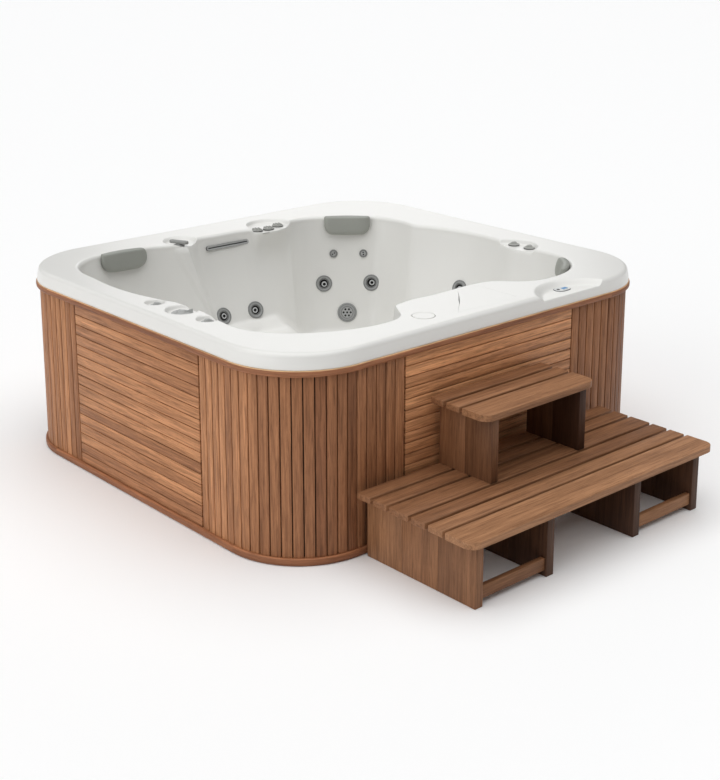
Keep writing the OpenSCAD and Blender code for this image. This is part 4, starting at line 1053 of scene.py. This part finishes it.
def spout():
    """The waterfall's outlet: a long bezel round a narrow slot."""
    rows = ((0.247, 0.021, -0.010), (0.250, 0.024, -0.001), (0.250, 0.024, 0.0034),
            (0.2488, 0.0228, 0.0045), (0.2468, 0.0208, JET_OUT), (0.2440, 0.0180, JET_OUT),
            (0.2428, 0.0168, 0.0042), (0.2310, 0.0050, 0.0038), (0.2304, 0.0044, 0.0028),
            (0.2304, 0.0044, -0.012))
    skin = Skin([JET_PLATE, JET_SHADE])
    skin.loft([at_height(stadium(length, high), z) for length, high, z in rows], "1110000111",
              wall_frame(*SPOUT_AT) @ Matrix.Translation((0, 0, SPOUT_OUT)))
    skin.finish("waterfall_bezel", "waterfall_spout", body="tub")


flanges = Skin([JET_GREY, JET_SHADE, HOLE_SHADE])
for specs, jet_r in ALL_JETS:
    for spec in specs.values():
        flange(flanges, wall_frame(*spec[:2]), jet_r, jet_r * FACE_SHARE)
flanges.finish("jet_flanges", "jet_housings", body="tub")
for name, spec in LARGE_JETS.items():
    jet_face(name, *spec)
for name, spec in SMALL_JETS.items():
    small_jet(name, *spec)
suction_cover()
spout()

# Knobs. Each is a low rim round its outline and a modelled top; x is the way that it points.
KNOB_Z = RIM_H - 0.0164
SMALL_R, DIVERTER_R, BACK_R, RIGHT_R = 0.0262, 0.0440, 0.0285, 0.0270


def upright_matrix(at, z, turn=0):
    return Matrix.Translation((*at, z)) @ Matrix.Rotation(math.radians(turn), 4, "Z")


def knob(name, at, facing, outlines, edge, top, mat):
    first = outlines[0]
    reach = np.abs(first).max()
    loops = [at_height(first * (1 - inset / reach), z) for inset, z in (
        (0.0006, 0.0), (0, 0.0007), (0, edge - 0.0010), (0.0004, edge - 0.0003))]
    loops += [np.column_stack([o, top(o[:, 0], o[:, 1])]) for o in outlines[1:]]
    skin = Skin([mat, KNOB_SHADE])
    skin.loft(loops, "11" + "0" * (len(loops) - 2), upright_matrix(at, KNOB_Z, facing))
    skin.finish(name + "_cap", name, "satin_chrome", sharp=48)


def discs(radius, n=72, rows=22):
    return [circle((0, 0), radius * k, n) for k in (1.0, 0.975, *np.linspace(0.94, 0.02, rows))]


def wedge(radius, edge, hub, crest, tip, wide, narrow, start=-0.62, reach=0.98):
    """Top of a knob with one grip from behind its middle out to the tip."""
    def top(x, y):
        d = np.hypot(x, y) / radius
        base = edge + 0.0022 * (1 - d**2)
        along = np.clip((x / radius - start) / (reach - start), 0, 1)
        width = radius * (wide + (narrow - wide) * ease(along))
        height = hub + (crest - hub) * ease(along * 1.6) + (tip - crest) * ease((along - 0.5) * 2)
        fade = ease((x / radius - start) / 0.35 + 0.1) * ease((reach + 0.06 - x / radius) / 0.12)
        return base + height * ease((width - np.abs(y)) / (0.55 * width)) * fade
    return top


def fins(radius, edge, height=0.0075):
    """Top of a knob with three parallel fins."""
    def top(x, y):
        d = np.hypot(x, y) / radius
        total = edge + 0.0015 * (1 - d**2)
        for shift in (-0.52, 0, 0.52):
            shape = ease((0.21 * radius - np.abs(y - shift * radius)) / (0.14 * radius))
            total = total + height * shape * ease((1.0 - d) / 0.16)
        return total
    return top


diverter_wedge = wedge(DIVERTER_R, 0.0085, 0.0060, 0.0050, 0.0165, 0.42, 0.07, -0.55, 0.99)


def diverter_top(x, y):
    """The diverter's grip, with a round hub and a shallow dish round it."""
    d = np.hypot(x, y) / DIVERTER_R
    hub = 0.0045 * ease((0.52 - np.hypot(x + 0.004, y) / DIVERTER_R) / 0.16)
    dish = 0.0016 * ease((d - 0.60) / 0.2) * ease((0.97 - d) / 0.1)
    return diverter_wedge(x, y) + hub - dish


small_top = wedge(SMALL_R, 0.0045, 0.0085, 0.0100, 0.0035, 0.50, 0.20)
right_top = wedge(RIGHT_R, 0.0048, 0.0105, 0.0100, 0.0020, 0.62, 0.16)
knob("air_knob_left_rear", LEFT_REAR_AT, -44, discs(SMALL_R), 0.0048, small_top, CHROME)
knob("air_knob_left_front", LEFT_FRONT_AT, -38, discs(SMALL_R), 0.0048, small_top, CHROME)
knob("diverter_knob", DIVERTER_AT, -36, discs(DIVERTER_R, 96, 34), 0.0090, diverter_top, CHROME)
for i, turn in enumerate((76, 80, 78)):
    knob(f"air_knob_back_{i + 1}", BACK_AT[i], turn, discs(BACK_R, 96, 34), 0.0050,
         fins(BACK_R, 0.0050), KNOB_GREY)
for side, at in zip(("rear", "front"), RIGHT_AT):
    knob("air_knob_right_" + side, at, 150, discs(RIGHT_R), 0.0050, right_top, KNOB_GREY)


def lever():
    """A skirt and a neck under a bar with round ends and four long grooves."""
    matrix = upright_matrix(LEVER_AT, KNOB_Z, 26)
    skin = Skin([LEVER_GREY])
    skin.loft(rings([(0.0255, 0), (0.026, 0.0008), (0.026, 0.0044), (0.0248, 0.0056),
                     (0.0165, 0.0066), (0.0152, 0.0080), (0.0150, 0.0130)]), "0" * 7, matrix)
    low, high, length, width = 0.0115, 0.0260, 0.0995, 0.0275
    loops = [at_height(stadium(length - d, width - d, 20), z) for d, z in (
        (0.0075, low), (0.0020, low + 0.0012), (0, low + 0.004), (0, high - 0.0035))]
    for d in np.linspace(0.0008, 0.0132, 16):
        outline = stadium(length - 2 * d, width - 2 * d, 20)
        x, y = outline.T
        swell = 0.0014 * (1 - (y / 0.05) ** 2)
        groove = 0.0011 * (0.5 - 0.5 * np.cos(x / 0.0031 * math.pi))
        groove = groove * ease((0.043 - np.abs(y)) / 0.008)
        edge = 0.0026 * (1 - ease(d / 0.004))
        loops.append(np.column_stack([
            outline, high - edge + swell * ease(d / 0.006) - groove * ease(d / 0.003)]))
    skin.loft(loops, "0" * len(loops), matrix)
    skin.add(loops[0][::-1], [range(len(loops[0]))], "0", matrix)
    skin.finish("lever_bar", "lever_knob_back", "satin_chrome", sharp=40)


def deck_cap():
    skin = Skin([ACRYLIC])
    skin.loft(rings([
        (CAP_R, -0.006), (CAP_R, -0.0004), (CAP_R - 0.0005, 0.0005), (CAP_R - 0.0016, 0.0010),
        (CAP_R - 0.006, 0.0013), (CAP_R - 0.0085, 0.0008), (CAP_R - 0.016, 0.0006),
        (CAP_R * 0.3, 0.0009),
    ], 72), "0" * 8, upright_matrix(CAP_AT, RIM_H))
    skin.finish("deck_cap", "filter_lid_cap", "acrylic")


lever()
deck_cap()

# Control panel: oval plate with a dark foot ring, painted shadow round its edge, a window and three
# keys
KEYPAD_AT = place(1556, 66)
KEYPAD_TOP = RIM_H - 0.0210
KEYPAD_SIZE = (0.0832, 0.0552)
KEYS = {"panel_button_main": (-0.022, 0.002, 0.007), "panel_button_up": (-0.004, -0.017, 0.005),
        "panel_button_down": (0.014, -0.017, 0.005)}
# Lower left corner and size
DISPLAY_BOX = (0.000, -0.009, 0.032, 0.020)


def oval(grow):
    """The keypad's outline drawn in or out, long side along x."""
    return stadium(KEYPAD_SIZE[0] + 2 * grow, KEYPAD_SIZE[1] + 2 * grow, 20)[:, ::-1] * (1, -1)


def rounded_box(x, y, w, h, r):
    """A box with round corners, from its lower left corner and size."""
    return np.concatenate([
        arc(x + w / 2 + sx * (w / 2 - r), y + h / 2 + sy * (h / 2 - r), r, start, 5)
        for (sx, sy), start in CORNERS.items()])


def keypad():
    matrix = upright_matrix(KEYPAD_AT, KEYPAD_TOP)
    skin = Skin([KEYPAD_FACE, KEYPAD_SHADE, HOLE_SHADE])
    skin.loft([at_height(oval(grow), z) for grow, z in (
        (-0.0004, -0.0058), (0.0, -0.0030), (0.0, -0.0016), (-0.0012, -0.0010),
        (-0.0022, -0.0013), (-0.0024, -0.0009), (-0.0028, -0.0003), (-0.0040, 0))],
        "1111100", matrix, closed=False)
    x, y, w, h = DISPLAY_BOX
    holes = [circle(k[:2], k[2] + 0.0003, 28) for k in KEYS.values()]
    holes.append(rounded_box(x, y, w, h, 0.002))
    skin.plate(oval(-0.0040), holes, 0, 0.0020, "002", matrix)
    skin.finish("keypad_plate", "keypad", body="tub")
    window = Skin([DISPLAY])
    outer = rounded_box(x + 0.0002, y + 0.0002, w - 0.0004, h - 0.0004, 0.0019)
    middle = np.array([x + w / 2, y + h / 2])
    window.loft([at_height(middle + (outer - middle) * k, z) for k, z in (
        (1, -0.0018), (1, -0.0004), (0.96, -0.0001), (0.90, 0))], "0000", matrix)
    window.finish("display_window", "panel_display", "display_glass", "tub")
    for name, (kx, ky, r) in KEYS.items():
        dark = name == "panel_button_main"
        key = Skin([KEY_DARK if dark else KEY_PALE])
        key.loft(rings([(r, -0.0030), (r, 0.0010), (r - 0.0004, 0.0014), (r * 0.85, 0.0016),
                        (r * 0.5, 0.0013), (r * 0.15, 0.0012)], 32, (kx, ky)), "0" * 6, matrix)
        key.finish(name + "_key", name, "black_plastic" if dark else "acrylic")


keypad()

# Pillows: moulded foam with a smooth skin
PILLOW_W, PILLOW_H, PILLOW_Z = 0.236, 0.100, RIM_H - 0.044
PILLOW_GAP = 0.0042
LOWER_CORNER = 0.056
# Angle round the bath, and how far the corners draw in: lower left and right, upper left and right
PILLOWS = {"pillow_back_left": (123.7, 0.085, 0.050, 0.003, 0.032),
           "pillow_back_right": (46.2, 0.046, 0.050, 0.012, 0.012),
           "pillow_front_right": (-39, 0.046, 0.046, 0.034, 0.004)}


def corner_inset(d, across, high):
    """How far an outline has drawn in at distance d from its end, for an oval corner."""
    d = np.clip(d / high, 0, 1)
    return across * (1 - np.sqrt(np.maximum(1 - (1 - d) ** 2, 0)))


def pillow(name, a0, left, right, upper_left, upper_right, cols=56, rows=30):
    frame_at = np.array(wall_frame(a0, PILLOW_Z))
    out, along, down = frame_at[:3, 2], frame_at[:3, 1], frame_at[:3, 0]
    u, v = (np.sin(np.linspace(-0.5, 0.5, n) * math.pi * 0.94) / math.sin(0.47 * math.pi)
            for n in (cols, rows))
    s, t = np.meshgrid(u, v, indexing="ij")
    y = t * PILLOW_H / 2 * (1 - 0.03 * s**2)
    from_low, from_high = (t + 1) * PILLOW_H / 2, (1 - t) * PILLOW_H / 2
    upper = np.where(s < 0, upper_left, upper_right)
    half = PILLOW_W / 2 - corner_inset(from_low, np.where(s < 0, left, right), LOWER_CORNER)
    half -= corner_inset(from_high, upper, upper)
    p = frame_at[:3, 3] + (s * half)[..., None] * along - y[..., None] * down
    # The back follows the wall, and the front swells out from it
    q = p[..., :2] - BATH_C
    a = np.arctan2(q[..., 1], q[..., 0])
    lack = np.hypot(q[..., 0], q[..., 1])
    lack = lack - wall_r(np.degrees(a), np.minimum(p[..., 2], RIM_H - RIM_R))
    base = p.copy()
    base[..., 0] -= np.cos(a) * lack
    base[..., 1] -= np.sin(a) * lack
    crown = np.sqrt(np.maximum((1 - s**6) * (1 - t**6), 0))
    belly = (1 - 0.35 * s**2) * (1 - 0.25 * t**2)
    depth = PILLOW_GAP + 0.0075 + (0.0180 + 0.0100 * belly) * crown
    front = (base + depth[..., None] * out).reshape(-1, 3)
    back = (base + PILLOW_GAP * out).reshape(-1, 3)
    # The sides have a slight waist between front and back
    n = cols * rows
    faces = grid_faces(cols, rows)
    index = np.arange(n).reshape(cols, rows)
    loop = np.concatenate([index[:, 0], index[-1, 1:], index[-2::-1, -1], index[0, -2:0:-1]])
    middle = front[loop] * 0.45 + back[loop] * 0.55
    inward = frame_at[:3, 3] - middle
    inward -= np.outer(inward @ out, out)
    waist = middle + inward / np.linalg.norm(inward, axis=1)[:, None] * 0.0016
    sides = []
    for i in range(len(loop)):
        j = (i + 1) % len(loop)
        sides.append([loop[i], 2 * n + i, 2 * n + j, loop[j]])
        sides.append([2 * n + i, n + loop[i], n + loop[j], 2 * n + j])
    obj = mesh_object(name + "_pad", np.concatenate([front, back, waist]),
                      faces.tolist() + (faces[:, ::-1] + n).tolist() + sides, [PILLOW])
    bm = bmesh.new()
    bm.from_mesh(obj.data)
    bmesh.ops.recalc_face_normals(bm, faces=bm.faces)
    bm.to_mesh(obj.data)
    bm.free()
    dress(obj, [name], "pillow_skin", name)


for name, spec in PILLOWS.items():
    pillow(name, *spec)

# Finish of the CAD nodes that stay
KEEP = {
    "base_pan": BLACK_PLASTIC, "frame_sill": SOFTWOOD, "frame_posts": SOFTWOOD,
    "frame_top_rail": SOFTWOOD, "cladding_backings": BACKING, "left_panel_backing": BACKING,
    "shell_cradle": GREY_PLASTIC, "pump_housings": BLACK_PLASTIC, "pump_motors": MOTOR,
    "heater": STEEL, "control_box": GREY_PLASTIC, "air_blower": BLACK_PLASTIC,
    "water_pipes": PIPE, "filter_housing": GREY_PLASTIC, "filter_cartridge": PAPER,
    "pillow_pegs": GREY_PLASTIC,
}
for name, mat in KEEP.items():
    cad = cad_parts[name]
    cad.data.materials.clear()
    cad.data.materials.append(mat)

# Floor, light and camera
FLOOR_REACH = 60
floor = mesh_object("floor", [(sx * FLOOR_REACH, sy * FLOOR_REACH, 0) for sx, sy in CORNERS],
                    [range(4)], [FLOOR])
floor.location.z = -0.001


def sun_light(name, azimuth, elevation, softness, power):
    """A far, wide light, from that azimuth and elevation; softness is its angle across."""
    data = bpy.data.lights.new(name, "SUN")
    data.energy = power
    data.angle = math.radians(softness)
    obj = bpy.data.objects.new(name, data)
    level, up = unit(azimuth), unit(elevation)
    toward = Vector((*(level * up[0]), up[1]))
    obj.rotation_euler = toward.to_track_quat("Z", "Y").to_euler()
    scene.collection.objects.link(obj)


sun_light("left_light", 172, 18, 60, 1.05)
sun_light("top_light", -100, 86, 85, 2.3)
sun_light("back_light", 49, 17, 20, 0.13)
world = bpy.data.worlds.new("studio")
world.use_nodes = True
fill(world.node_tree, world.node_tree.nodes["Background"], {
    "Color": (0.97, 0.985, 1), "Strength": 0.18})
scene.world = world
scene.view_settings.view_transform = "Standard"

camera_data = bpy.data.cameras.new("camera")
camera_data.lens = LENS
camera_data.sensor_width = 36
camera_data.shift_y = SHIFT_Y
camera_data.clip_end = 200
camera = bpy.data.objects.new("camera", camera_data)
camera.location = CAM_AT
camera.rotation_euler = (math.radians(90 - CAM_PITCH), 0, math.radians(CAM_HEADING))
scene.collection.objects.link(camera)
scene.camera = camera
